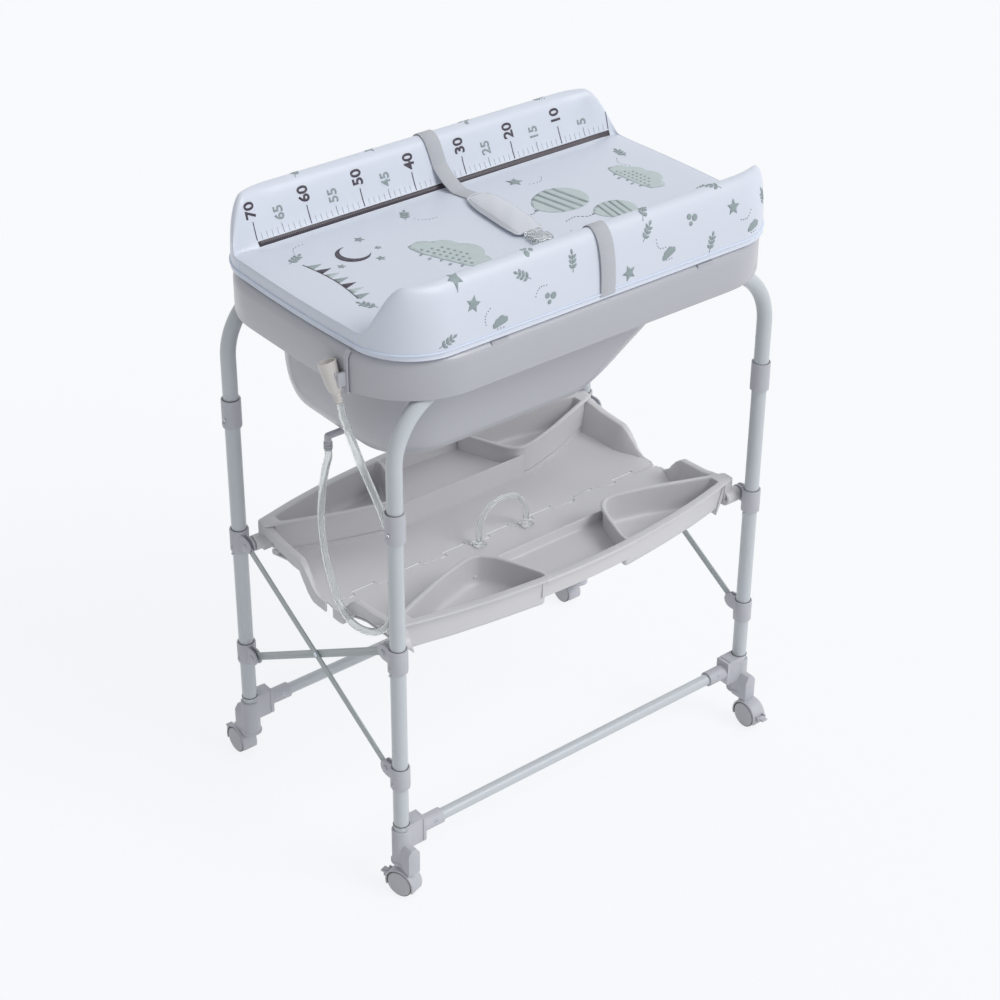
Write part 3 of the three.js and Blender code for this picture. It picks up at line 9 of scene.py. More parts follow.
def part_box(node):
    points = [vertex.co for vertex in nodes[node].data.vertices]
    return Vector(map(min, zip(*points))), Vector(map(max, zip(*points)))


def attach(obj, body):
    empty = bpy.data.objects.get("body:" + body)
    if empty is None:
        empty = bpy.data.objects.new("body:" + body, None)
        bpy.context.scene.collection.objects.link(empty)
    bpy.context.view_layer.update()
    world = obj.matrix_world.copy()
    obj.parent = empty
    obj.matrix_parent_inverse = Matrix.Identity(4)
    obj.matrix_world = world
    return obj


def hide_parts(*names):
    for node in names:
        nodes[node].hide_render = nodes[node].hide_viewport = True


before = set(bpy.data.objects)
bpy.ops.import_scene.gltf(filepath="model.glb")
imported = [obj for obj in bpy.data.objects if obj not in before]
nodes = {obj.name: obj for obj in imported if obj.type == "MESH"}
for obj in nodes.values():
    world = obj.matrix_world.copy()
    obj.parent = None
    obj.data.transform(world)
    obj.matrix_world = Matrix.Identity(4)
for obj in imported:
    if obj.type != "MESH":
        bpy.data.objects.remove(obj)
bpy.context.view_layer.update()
scene = bpy.context.scene
mm = 0.001

# camera, as the product was photographed
cameraSettings = {
    "eye": (-2.0064, -2.4569, 2.4553),
    "azimuth": 0.6852,
    "elevation": 0.5556,
    "roll": 0.008,
    "lens": 81.62,
    "sensor": 36.0,
}


def addCamera(s):
    az, el = s["azimuth"], s["elevation"]
    forward = Vector((sin(az) * cos(el), cos(az) * cos(el), -sin(el)))
    right = forward.cross(Vector((0, 0, 1))).normalized()
    up = right.cross(forward)
    camRight = right * cos(s["roll"]) + up * sin(s["roll"])
    camUp = up * cos(s["roll"]) - right * sin(s["roll"])
    data = bpy.data.cameras.new("productCamera")
    data.lens = s["lens"]
    data.sensor_width = s["sensor"]
    data.clip_end = 50
    camera = bpy.data.objects.new("productCamera", data)
    scene.collection.objects.link(camera)
    turn = Matrix((camRight, camUp, -forward)).transposed().to_4x4()
    camera.matrix_world = Matrix.Translation(s["eye"]) @ turn
    scene.camera = camera


addCamera(cameraSettings)
print("camera ready")


# mesh helpers
def meshPiece(name, verts, faces, smooth=35):
    mesh = bpy.data.meshes.new(name)
    mesh.from_pydata([tuple(v) for v in verts], [], faces)
    bm = bmesh.new()
    bm.from_mesh(mesh)
    bmesh.ops.recalc_face_normals(bm, faces=bm.faces)
    bm.to_mesh(mesh)
    bm.free()
    for polygon in mesh.polygons:
        polygon.use_smooth = True
    mesh.set_sharp_from_angle(angle=radians(smooth))
    obj = bpy.data.objects.new(name, mesh)
    scene.collection.objects.link(obj)
    return obj


def dress(obj, look, body, slotName, *replaced):
    obj.data.materials.append(looks[look])
    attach(obj, body)
    if replaced:
        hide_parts(*replaced)


def loftPiece(name, rings, joinRound=False, smooth=35):
    count, size = len(rings), len(rings[0])
    faces = []
    for r in range(count if joinRound else count - 1):
        a, b = r * size, (r + 1) % count * size
        for i in range(size):
            j = (i + 1) % size
            faces.append((a + i, a + j, b + j, b + i))
    if not joinRound:
        faces.append(tuple(range(size))[::-1])
        faces.append(tuple(range((count - 1) * size, count * size)))
    return meshPiece(name, [p for ring in rings for p in ring], faces, smooth)


def between(a, b, start, end, t):
    return a * ((end - t) / (end - start)) + b * ((t - start) / (end - start))


def catmull(points, steps):
    line = []
    pts = [points[0] * 2 - points[1]] + list(points) + [points[-1] * 2 - points[-2]]
    for i in range(1, len(pts) - 2):
        near = pts[i - 1:i + 3]
        knots = [0.0]
        for a, b in zip(near, near[1:]):
            knots.append(knots[-1] + sqrt(max((b - a).length, 1e-6)))
        for s in range(steps):
            t = knots[1] + (knots[2] - knots[1]) * s / steps
            a = [between(near[k], near[k + 1], knots[k], knots[k + 1], t) for k in range(3)]
            b = [between(a[k], a[k + 1], knots[k], knots[k + 2], t) for k in range(2)]
            line.append(between(b[0], b[1], knots[1], knots[2], t))
    line.append(points[-1].copy())
    return line


def evenly(line, count):
    lengths = [0.0]
    for a, b in zip(line, line[1:]):
        lengths.append(lengths[-1] + (b - a).length)
    out = []
    k = 0
    for i in range(count):
        want = lengths[-1] * i / (count - 1)
        while k < len(line) - 2 and lengths[k + 1] < want:
            k += 1
        span = lengths[k + 1] - lengths[k]
        share = (want - lengths[k]) / span if span > 0 else 0
        out.append(line[k].lerp(line[k + 1], min(max(share, 0), 1)))
    return out


def disc(radius, count=18, squash=1):
    turns = [2 * pi * i / count for i in range(count)]
    return [(radius * cos(a), radius * squash * sin(a)) for a in turns]


def sweepRings(path, section):
    rings = []
    tangent = (path[1] - path[0]).normalized()
    side = tangent.orthogonal().normalized()
    for i, point in enumerate(path):
        newTangent = (path[min(i + 1, len(path) - 1)] - path[max(i - 1, 0)]).normalized()
        turn = tangent.rotation_difference(newTangent)
        side = (turn @ side).normalized()
        tangent = newTangent
        other = tangent.cross(side)
        rings.append([point + side * u + other * v for u, v in section])
    return rings


def tubePiece(name, path, radius, sides, bore=0):
    rings = sweepRings(path, disc(radius, sides))
    if bore:
        rings += sweepRings(path, disc(bore, sides))[::-1]
    return loftPiece(name, rings, bool(bore))


def revolvePiece(name, profile, base, axis, sides):
    # the profile is in mm: distance from the axis, then place along it
    axis = axis.normalized()
    side = axis.orthogonal().normalized()
    other = axis.cross(side)
    rings = []
    for r, h in profile:
        rings.append([base + axis * (h * mm) + side * u + other * v for u, v in disc(r * mm, sides)])
    return loftPiece(name, rings, True, 40)


def joinPieces(name, parts, smooth=None):
    bm = bmesh.new()
    for part in parts:
        bm.from_mesh(part.data)
    main = parts[0]
    bm.to_mesh(main.data)
    bm.free()
    for part in parts[1:]:
        bpy.data.objects.remove(part)
    main.name = name
    if smooth:
        main.data.set_sharp_from_angle(angle=radians(smooth))
    return main


def mix(a, b, t):
    return a + (b - a) * t


def ease(t):
    t = min(max(t, 0), 1)
    return t * t * (3 - 2 * t)


def tableAt(table, t):
    place = min(max(t, 0), 1) * (len(table) - 1)
    i = min(int(place), len(table) - 2)
    rows = [table[max(i - 1, 0)], table[i], table[i + 1], table[min(i + 2, len(table) - 1)]]
    f = place - i
    out = []
    for p0, p1, p2, p3 in zip(*rows):
        m1, m2 = (p2 - p0) / 2, (p3 - p1) / 2
        if (p2 - p1) * (p1 - p0) <= 0:
            m1 = 0
        if (p3 - p2) * (p2 - p1) <= 0:
            m2 = 0
        h = p1 * (2 * f ** 3 - 3 * f ** 2 + 1) + m1 * (f ** 3 - 2 * f ** 2 + f)
        out.append(h + p2 * (-2 * f ** 3 + 3 * f ** 2) + m2 * (f ** 3 - f ** 2))
    return out


# shader node groups
colorSocket, floatSocket, vectorSocket = "NodeSocketColor", "NodeSocketFloat", "NodeSocketVector"


def nodeGroup(name, inputs, outputs, kind="ShaderNodeTree"):
    group = bpy.data.node_groups.new(name, kind)
    for label, socketKind, value in inputs:
        socket = group.interface.new_socket(name=label, in_out="INPUT", socket_type=socketKind)
        if value is not None:
            socket.default_value = value
    for label, socketKind in outputs:
        group.interface.new_socket(name=label, in_out="OUTPUT", socket_type=socketKind)
    return group, group.nodes.new("NodeGroupInput"), group.nodes.new("NodeGroupOutput")


def addNode(tree, kind, x=0, **values):
    node = tree.nodes.new(kind)
    node.location.x = x
    for key, value in values.items():
        if hasattr(node, key):
            setattr(node, key, value)
        else:
            node.inputs[key.replace("_", " ")].default_value = value
    return node


def wire(tree, *pairs):
    for start, end in pairs:
        tree.links.new(start, end)


def mathNode(tree, x, operation, *values):
    # a number is set, a socket is linked
    node = addNode(tree, "ShaderNodeMath", x, operation=operation)
    for i, value in enumerate(values):
        if isinstance(value, (int, float)):
            node.inputs[i].default_value = value
        else:
            tree.links.new(value, node.inputs[i])
    return node.outputs[0]


def noiseField(group, gin, **values):
    coords = addNode(group, "ShaderNodeTexCoord", -800)
    noise = addNode(group, "ShaderNodeTexNoise", -600, **values)
    wire(group, (coords.outputs["Object"], noise.inputs["Vector"]), (gin.outputs["Scale"], noise.inputs["Scale"]))
    return noise.outputs["Fac"]


def bumpField(group, gin, height):
    bump = addNode(group, "ShaderNodeBump", -150)
    wire(group, (height, bump.inputs["Height"]), (gin.outputs["Strength"], bump.inputs["Strength"]),
         (gin.outputs["Distance"], bump.inputs["Distance"]))
    return bump.outputs["Normal"]


def shadeField(group, gin, value):
    shade = addNode(group, "ShaderNodeHueSaturation", 60)
    wire(group, (value, shade.inputs["Value"]), (gin.outputs["Color"], shade.inputs["Color"]))
    return shade.outputs["Color"]


def makeColourDrift():
    # slow change of shade over a moulding or a coat of paint
    group, gin, gout = nodeGroup(
        "colourDrift",
        [("Color", colorSocket, (0.8, 0.8, 0.8, 1)), ("Amount", floatSocket, 0.04), ("Scale", floatSocket, 12.0)],
        [("Color", colorSocket)],
    )
    shift = mathNode(group, -400, "SUBTRACT", noiseField(group, gin, Detail=3.0), 0.5)
    amount = mathNode(group, -250, "MULTIPLY", shift, gin.outputs["Amount"])
    value = mathNode(group, -100, "MULTIPLY_ADD", amount, 2.0, 1.0)
    wire(group, (shadeField(group, gin, value), gout.inputs["Color"]))
    return group


def makeSurfaceGrain():
    # fine leather-like grain of a moulding, or orange peel of a coat of paint
    group, gin, gout = nodeGroup(
        "surfaceGrain",
        [("Scale", floatSocket, 900.0), ("Strength", floatSocket, 0.1), ("Distance", floatSocket, 0.0002)],
        [("Normal", vectorSocket)],
    )
    noise = noiseField(group, gin, Detail=2.0)
    wire(group, (bumpField(group, gin, noise), gout.inputs["Normal"]))
    return group


def makeHandling():
    # faint rubbed patches that change the gloss where hands and cloths go
    group, gin, gout = nodeGroup(
        "handlingMarks",
        [("Roughness", floatSocket, 0.4), ("Spread", floatSocket, 0.1), ("Scale", floatSocket, 25.0)],
        [("Roughness", floatSocket)],
    )
    shift = mathNode(group, -400, "SUBTRACT", noiseField(group, gin, Detail=6.0, Roughness=0.7), 0.5)
    rough = mathNode(group, -200, "MULTIPLY_ADD", shift, gin.outputs["Spread"], gin.outputs["Roughness"])
    wire(group, (rough, gout.inputs["Roughness"]))
    return group


def makeWeave():
    # plain weave of the strap: crossing ribs in colour and in height
    group, gin, gout = nodeGroup(
        "strapWeave",
        [("Color", colorSocket, (0.7, 0.7, 0.7, 1)), ("Scale", floatSocket, 900.0), ("Strength", floatSocket, 0.4),
         ("Distance", floatSocket, 0.0003)],
        [("Color", colorSocket), ("Normal", vectorSocket)],
    )
    coords = addNode(group, "ShaderNodeTexCoord", -1000)
    waves = []
    for direction in ("X", "DIAGONAL"):
        wave = addNode(group, "ShaderNodeTexWave", -800, bands_direction=direction)
        wire(group, (coords.outputs["Object"], wave.inputs["Vector"]), (gin.outputs["Scale"], wave.inputs["Scale"]))
        waves.append(wave.outputs["Fac"])
    both = mathNode(group, -550, "MULTIPLY", *waves)
    shade = addNode(group, "ShaderNodeMapRange", -350, To_Min=0.86, To_Max=1.06)
    wire(group, (both, shade.inputs["Value"]))
    wire(group, (shadeField(group, gin, shade.outputs["Result"]), gout.inputs["Color"]),
         (bumpField(group, gin, both), gout.inputs["Normal"]))
    return group


def makeDots():
    # rows of pale dots left open in a printed band
    group, gin, gout = nodeGroup(
        "dotRows",
        [("Ground", colorSocket, (0.05, 0.04, 0.05, 1)), ("Dot", colorSocket, (0.5, 0.5, 0.5, 1)),
         ("Scale", floatSocket, 1500.0), ("Size", floatSocket, 0.72)],
        [("Color", colorSocket)],
    )
    coords = addNode(group, "ShaderNodeTexCoord", -1000)
    split = addNode(group, "ShaderNodeSeparateXYZ", -850)
    wire(group, (coords.outputs["Object"], split.inputs[0]))
    waves = []
    for axis in ("X", "Z"):
        turns = mathNode(group, -700, "MULTIPLY", split.outputs[axis], gin.outputs["Scale"])
        waves.append(mathNode(group, -550, "SINE", turns))
    both = mathNode(group, -400, "MULTIPLY", *waves)
    chosen = mathNode(group, -250, "GREATER_THAN", both, gin.outputs["Size"])
    blend = addNode(group, "ShaderNodeMix", -100, data_type="RGBA")
    wire(group, (chosen, blend.inputs["Factor"]), (gin.outputs["Ground"], blend.inputs[6]),
         (gin.outputs["Dot"], blend.inputs[7]), (blend.outputs[2], gout.inputs["Color"]))
    return group


groups = {
    "drift": makeColourDrift(),
    "grain": makeSurfaceGrain(),
    "handling": makeHandling(),
    "weave": makeWeave(),
    "dots": makeDots(),
}


def placeGroup(tree, name, x, **values):
    node = tree.nodes.new("ShaderNodeGroup")
    node.node_tree = groups[name]
    node.location.x = x
    for key, value in values.items():
        node.inputs[key].default_value = value
    return node


def newMaterial(name):
    material = bpy.data.materials.new(name)
    material.use_nodes = True
    tree = material.node_tree
    return material, tree, tree.nodes["Principled BSDF"]


def finishMaterial(name, color, roughness, spread=0.08, drift=0.04, driftScale=9, grainScale=700,
                   grainStrength=0.12, metallic=0.0, coat=0.0, sheen=0.0):
    material, tree, shader = newMaterial(name)
    colour = placeGroup(tree, "drift", -500, Color=(*color, 1), Amount=drift, Scale=driftScale)
    rough = placeGroup(tree, "handling", -500, Roughness=roughness, Spread=spread)
    grain = placeGroup(tree, "grain", -500, Scale=grainScale, Strength=grainStrength)
    wire(tree, (colour.outputs["Color"], shader.inputs["Base Color"]),
         (rough.outputs["Roughness"], shader.inputs["Roughness"]), (grain.outputs["Normal"], shader.inputs["Normal"]))
    shader.inputs["Metallic"].default_value = metallic
    shader.inputs["Coat Weight"].default_value = coat
    shader.inputs["Sheen Weight"].default_value = sheen
    return material


def clearMaterial(name, color, roughness, transmission):
    material, tree, shader = newMaterial(name)
    shader.inputs["Base Color"].default_value = (*color, 1)
    rough = placeGroup(tree, "handling", -500, Roughness=roughness, Spread=0.06, Scale=60)
    wire(tree, (rough.outputs["Roughness"], shader.inputs["Roughness"]))
    shader.inputs["Transmission Weight"].default_value = transmission
    shader.inputs["IOR"].default_value = 1.4
    return material


def webbingMaterial(name, color, scale, strength):
    material, tree, shader = newMaterial(name)
    weave = placeGroup(tree, "weave", -500, Color=(*color, 1), Scale=scale, Strength=strength)
    wire(tree, (weave.outputs["Color"], shader.inputs["Base Color"]), (weave.outputs["Normal"], shader.inputs["Normal"]))
    shader.inputs["Roughness"].default_value = 0.8
    shader.inputs["Sheen Weight"].default_value = 0.3
    return material


def bandMaterial(name, ground, dot):
    material, tree, shader = newMaterial(name)
    dots = placeGroup(tree, "dots", -500, Ground=(*ground, 1), Dot=(*dot, 1))
    rough = placeGroup(tree, "handling", -500, Roughness=0.42, Spread=0.06)
    wire(tree, (dots.outputs["Color"], shader.inputs["Base Color"]),
         (rough.outputs["Roughness"], shader.inputs["Roughness"]))
    return material


finishes = {
    "framePaint": dict(color=(0.56, 0.597, 0.623), roughness=0.36, spread=0.06, drift=0.02, grainScale=420,
                       grainStrength=0.06, coat=0.15),
    "bracePaint": dict(color=(0.42, 0.46, 0.465), roughness=0.4, drift=0.03, grainScale=420, grainStrength=0.06),
    "fittingPlastic": dict(color=(0.52, 0.525, 0.565), roughness=0.48, drift=0.03, grainScale=1500,
                           grainStrength=0.16),
    "trayPlastic": dict(color=(0.66, 0.65, 0.662), roughness=0.42, drift=0.03, grainScale=1100, grainStrength=0.10),
    "tubPlastic": dict(color=(0.485, 0.49, 0.525), roughness=0.26, spread=0.05, drift=0.015, grainScale=900,
                       grainStrength=0.04),
    "matVinyl": dict(color=(0.705, 0.745, 0.83), roughness=0.34, spread=0.06, drift=0.012, driftScale=6,
                     grainScale=1300, grainStrength=0.10),
    "matPiping": dict(color=(0.70, 0.77, 0.90), roughness=0.4, drift=0.01),
    "printSage": dict(color=(0.30, 0.365, 0.375), roughness=0.4, drift=0.10, driftScale=60),
    "printPale": dict(color=(0.52, 0.60, 0.60), roughness=0.4, drift=0.06, driftScale=60),
    "printPlum": dict(color=(0.055, 0.042, 0.062), roughness=0.4, drift=0.10, driftScale=60),
    "padFabric": dict(color=(0.69, 0.707, 0.755), roughness=0.75, drift=0.03, grainScale=1600, grainStrength=0.35,
                      sheen=0.3),
    "stitchThread": dict(color=(0.66, 0.66, 0.68), roughness=0.7, grainScale=3000, grainStrength=0.3),
    "zincSteel": dict(color=(0.62, 0.68, 0.74), roughness=0.3, drift=0.05, driftScale=200, metallic=0.9,
                      grainScale=2200, grainStrength=0.1),
    "wheelPlastic": dict(color=(0.5, 0.505, 0.535), roughness=0.4, drift=0.03, grainScale=900, grainStrength=0.06),
    # painted shade: a dark colour for the groove round each wheel face
    "grooveShadePaint": dict(color=(0.13, 0.11, 0.095), roughness=0.6),
    "cupPlastic": dict(color=(0.66, 0.63, 0.605), roughness=0.35, drift=0.03),
    "gapShadow": dict(color=(0.10, 0.095, 0.09), roughness=0.7, drift=0.05),
}
looks = {name: finishMaterial(name, **values) for name, values in finishes.items()}
looks["strapWebbing"] = webbingMaterial("strapWebbing", (0.56, 0.575, 0.61), 700, 0.35)
looks["clearHose"] = clearMaterial("clearHose", (0.93, 0.95, 0.95), 0.12, 0.85)
looks["clearPlastic"] = clearMaterial("clearPlastic", (0.93, 0.95, 0.96), 0.1, 0.8)
looks["rulerBand"] = bandMaterial("rulerBand", (0.04, 0.03, 0.042), (0.22, 0.20, 0.23))
print("materials ready:", len(looks))


# carried-over nodes get soft edges, smooth shading and their finish
def makeEdgeShading():
    group, gin, gout = nodeGroup(
        "edgeShading",
        [("Geometry", "NodeSocketGeometry", None), ("Angle", floatSocket, radians(38))],
        [("Geometry", "NodeSocketGeometry")],
        "GeometryNodeTree",
    )
    drop = addNode(group, "GeometryNodeRemoveAttribute", 0, Name="custom_normal")
    faces = addNode(group, "GeometryNodeSetShadeSmooth", 200, domain="FACE", Shade_Smooth=True)
    turn = addNode(group, "GeometryNodeInputMeshEdgeAngle", 0)
    sharp = addNode(group, "FunctionNodeCompare", 200, data_type="FLOAT", operation="GREATER_THAN")
    edges = addNode(group, "GeometryNodeSetShadeSmooth", 400, domain="EDGE", Shade_Smooth=False)
    wire(group, (gin.outputs["Geometry"], drop.inputs["Geometry"]),
         (drop.outputs["Geometry"], faces.inputs["Geometry"]), (turn.outputs["Unsigned Angle"], sharp.inputs[0]),
         (gin.outputs["Angle"], sharp.inputs[1]), (sharp.outputs["Result"], edges.inputs["Selection"]),
         (faces.outputs["Geometry"], edges.inputs["Geometry"]), (edges.outputs["Geometry"], gout.inputs["Geometry"]))
    return group


edgeShading = makeEdgeShading()


def softEdge(obj, width, segments):
    edge = obj.modifiers.new("softEdge", "BEVEL")
    edge.width = width
    edge.segments = segments
    edge.limit_method = "ANGLE"
    edge.angle_limit = radians(40)


def softenNode(obj, bevel):
    weld = obj.modifiers.new("weld", "WELD")
    weld.merge_threshold = 0.00002
    flat = obj.modifiers.new("flatFaces", "DECIMATE")
    flat.decimate_type = "DISSOLVE"
    flat.angle_limit = radians(1.5)
    if bevel:
        softEdge(obj, bevel, 2)
    shading = obj.modifiers.new("edgeShading", "NODES")
    shading.node_group = edgeShading


nodeFinishes = [
    ("upper_frame", "framePaint", 0), ("rail_sleeve", "fittingPlastic", 0.0006), ("_rail", "framePaint", 0),
    ("leg_", "framePaint", 0), ("joint_collar", "fittingPlastic", 0), ("bracket", "fittingPlastic", 0.0006),
    ("foot_", "fittingPlastic", 0.0009), ("hood", "fittingPlastic", 0.0005), ("wheels", "wheelPlastic", 0.0006),
    ("brake_lever", "fittingPlastic", 0.0005), ("brace_rivet", "zincSteel", 0.0003), ("brace_", "bracePaint", 0.0004),
    ("tray_lift", "clearPlastic", 0.0006), ("tray_", "trayPlastic", 0.0014), ("drain_plug", "fittingPlastic", 0.0004),
    ("drain_elbow", "fittingPlastic", 0.0004), ("hose_cup", "fittingPlastic", 0.0003),
    ("hose_hook", "fittingPlastic", 0.0004), ("strap_buckle", "clearPlastic", 0.0008),
    ("bathtub", "tubPlastic", 0.0), ("changing_mat", "matVinyl", 0.0), ("strap_pad", "padFabric", 0.0),
    ("strap", "strapWebbing", 0.0), ("hose", "clearHose", 0.0),
]
for nodeName, nodeObject in nodes.items():
    for key, finish, bevel in nodeFinishes:
        if key in nodeName:
            nodeObject.data.materials.clear()
            nodeObject.data.materials.append(looks[finish])
            softenNode(nodeObject, bevel)
            break
print("nodes dressed:", len(nodes))

# drain hose, clear and hollow, from the elbow round to the cup
hose = {
    "radius": 6.0,
    "bore": 4.4,
    "steps": 14,
    "points": 170,
    "spigot": 15.9,
    "cupLow": (-405, -128, 884),
    "cupHigh": (-409, -112, 929),
    "cupProfile": [
        (6.2, -15), (6.2, -13.6), (7, -12.6), (6.2, -11.6), (6.2, -10.4), (7, -9.4), (6.2, -8.4), (6.2, -7.2),
        (7, -6.2), (6.2, -5.2), (6.2, -4), (7, -3), (6.4, -1.8), (7, 0), (9.4, 3.5), (11.2, 9), (12.3, 18), (13.3, 36),
        (14, 44.5), (14.6, 46), (14.6, 47.3), (14, 47.9), (13, 47.6), (12.4, 46), (11.7, 36), (10.7, 18),
        (9.4, 9.5), (5.4, 3), (4.4, 1), (4.4, -15),
    ],
    "route": [
        (-330, 8, 699.7), (-330, 8, 688), (-334, 11, 668), (-340, 12, 635), (-348, 8, 588), (-355, -6, 546),
        (-357.5, -25, 497), (-357.5, -50, 453), (-357.5, -82, 439), (-357.5, -125, 447), (-357, -165, 475),
        (-354, -186, 520), (-352, -193, 570), (-355, -191, 625), (-364, -184, 672), (-374, -178, 712),
        (-385, -161, 763), (-394, -146, 812), (-400, -135, 848),
    ],
}


def addHose(s):
    route = [Vector(p) * mm for p in s["route"]]
    low, high = Vector(s["cupLow"]) * mm, Vector(s["cupHigh"]) * mm
    down = (low - high).normalized()
    end = low + down * (s["spigot"] * mm)
    route += [end + down * (2 * s["radius"] * mm), end]
    path = evenly(catmull(route, s["steps"]), s["points"])
    path[0] = route[0]
    piece = tubePiece("clearDrainHose", path, s["radius"] * mm, 24, s["bore"] * mm)
    dress(piece, "clearHose", "tub", "clear_plastic", "drain_hose")
    cup = revolvePiece("hoseCup", s["cupProfile"], low, -down, 48)
    dress(cup, "cupPlastic", "tub", "fitting_plastic", "hose_cup")


addHose(hose)

# bathtub
tub = {
    "top": 952.7, "bottom": 730, "wall": 3, "halfX": 350, "halfY": 203, "rimX": 390, "rimY": 247, "bow": 5,
    "rimRadius": 134, "rimRound": 16, "skirt": 886, "lip": 8, "corner": 14, "straight": 8, "rings": 44,
    "saddleX": 200, "saddleLength": 30, "saddleLow": 907.8, "saddleInner": 202.5,
    "sections": [
        (1, 0.72, 0.2, 0.56, 0.5), (0.985, 0.87, 0.26, 0.68, 0.55), (0.94, 0.915, 0.32, 0.735, 0.6),
        (0.86, 0.955, 0.41, 0.765, 0.62), (0.7, 0.985, 0.55, 0.8, 0.64), (0.45, 0.992, 0.755, 0.86, 0.66),
        (0.2, 0.995, 0.9, 0.95, 0.68), (0.03, 1, 0.97, 1, 0.7),
    ],
}


def planRing(left, right, halfY, radius, z, bow=0, corner=14, straight=8):
    centres = [(right - radius, halfY - radius, 0), (left + radius, halfY - radius, 1),
               (left + radius, -halfY + radius, 2), (right - radius, -halfY + radius, 3)]
    points = []
    for i, (cx, cy, quarter) in enumerate(centres):
        for s in range(corner + 1):
            a = (quarter + s / corner) * pi / 2
            points.append((cx + radius * cos(a), cy + radius * sin(a)))
        nx, ny, _ = centres[(i + 1) % 4]
        a = (quarter + 1) * pi / 2
        fx, fy = cx + radius * cos(a), cy + radius * sin(a)
        tx, ty = nx + radius * cos(a), ny + radius * sin(a)
        for s in range(1, straight):
            points.append((mix(fx, tx, s / straight), mix(fy, ty, s / straight)))
    ring = []
    for x, y in points:
        end = abs(right if x > 0 else left)
        share = min(max((abs(x) - end * 0.6) / (end * 0.4), 0), 1)
        bulge = bow * (1 - min(1, (y / halfY) ** 2)) * share
        ring.append(Vector((x + (bulge if x > 0 else -bulge), y, z)) * mm)
    return ring


def addTub(s):
    depth = s["top"] - s["bottom"]

    def section(t, inset, useDepth, base):
        d, left, right, side, corner = tableAt(s["sections"], t)
        halfY = s["halfY"] * side - inset
        return planRing(-s["halfX"] * left + inset, s["halfX"] * right - inset, halfY, halfY * corner,
                        base - useDepth * d, 0, s["corner"], s["straight"])

    def rim(outset, z):
        return planRing(-s["rimX"] - outset, s["rimX"] + outset, s["rimY"] + outset, s["rimRadius"] + outset, z,
                        s["bow"], s["corner"], s["straight"])

    count = s["rings"]
    rings = [section(i / (count - 1), 0, depth, s["top"]) for i in range(count)]
    under = s["rimRound"] - s["wall"]
    rings.append(rim(-s["rimRound"], s["top"] - s["wall"]))
    for i in range(1, 7):
        a = i / 6 * pi / 2
        rings.append(rim(-s["rimRound"] + under * sin(a), s["top"] - s["wall"] - under * (1 - cos(a))))
    rings.append(rim(-s["wall"], s["skirt"] + 1.5))
    r = s["wall"] / 2
    for i in range(5):
        a = i / 4 * pi
        rings.append(rim(-r - r * cos(a), s["skirt"] + r * (1 - sin(a))))
    for i in range(11):
        a = i / 10 * pi / 2
        rings.append(rim(-s["rimRound"] * (1 - cos(a)), s["top"] - s["rimRound"] * (1 - sin(a))))
    rings += [section(1 - i / (count - 1), s["wall"], depth - s["wall"], s["top"]) for i in range(count)]
    body = loftPiece("deepBathTub", rings, False, 50)
    blocks = []
    half = s["saddleLength"] / 2
    for sx in (-1, 1):
        for sy in (-1, 1):
            x = sx * s["saddleX"]
            y0, y1 = sorted((sy * s["saddleInner"], sy * (s["rimY"] - 2)))
            corners = [(x - half, y0), (x + half, y0), (x + half, y1), (x - half, y1)]
            rings = [[Vector((cx, cy, z)) * mm for cx, cy in corners] for z in (s["saddleLow"], s["top"] - 2)]
            blocks.append(loftPiece("saddle", rings))
    body = joinPieces("deepBathTub", [body] + blocks, 50)
    dress(body, "tubPlastic", "tub", "tub_plastic", "bathtub")


addTub(tub)
print("tub ready")

# changing mat: a padded trough open at both ends
mat = {
    "base": 953.0, "halfX": 376, "halfY": 241, "bow": 11, "cornerRadius": 92, "endHeight": 27, "wallHeight": 105,
    "climbTurn": 0.98, "floorY": 162, "edge": 5, "crown": 2, "wallFrom": 0.37,
    "profile": [(0.0, -0.03), (0.06, 0), (0.45, 0.035), (0.78, 0.12), (0.95, 0.24), (1, 0.37), (0.94, 0.52),
                (0.75, 0.66), (0.4, 0.86), (0.257, 1.0)],
    "corner": 22, "straight": 26, "levels": 34, "floorRings": 10, "sectionSteps": 60,
}


def matRise(s, full, height, breadth):
    # past its widest place the wall doesn't go below the mat's floor
    z = full * height
    return max(z, s["endHeight"] * min(1, 0.96 + 0.04 * breadth)) if breadth > s["wallFrom"] else z


def matWallRing(ring, s, height, breadth):
    cornerX, cornerY = s["halfX"] - s["cornerRadius"], s["halfY"] - s["cornerRadius"]
    out = []
    for p in ring:
        x, y = p.x / mm, p.y / mm
        raised = 1 if abs(x) <= cornerX else ease(atan2(abs(y) - cornerY, abs(x) - cornerX) / s["climbTurn"])
        lateral = min(max((abs(y) - (s["floorY"] - 12)) / 24, 0), 1)
        raised *= ease(lateral)
        foot = min(s["floorY"], abs(y))
        z = matRise(s, mix(s["endHeight"], s["wallHeight"], raised), height, breadth)
        width = max(abs(y) - foot, 0)
        moved = abs(y) - width * min(breadth, 1)
        inward = s["edge"] * 2 * max(breadth, 0) * (1 - ease((abs(y) - 120) / 60))
        newX = abs(x) - inward
        place = (newX if x > 0 else -newX, moved if y > 0 else -moved, s["base"] + z)
        out.append(Vector([value * mm for value in place]))
    return out


def matBaseRing(s, inset=0):
    return planRing(-s["halfX"] + inset, s["halfX"] - inset, s["halfY"] - inset, s["cornerRadius"] - inset,
                    s["base"], s["bow"], s["corner"], s["straight"])


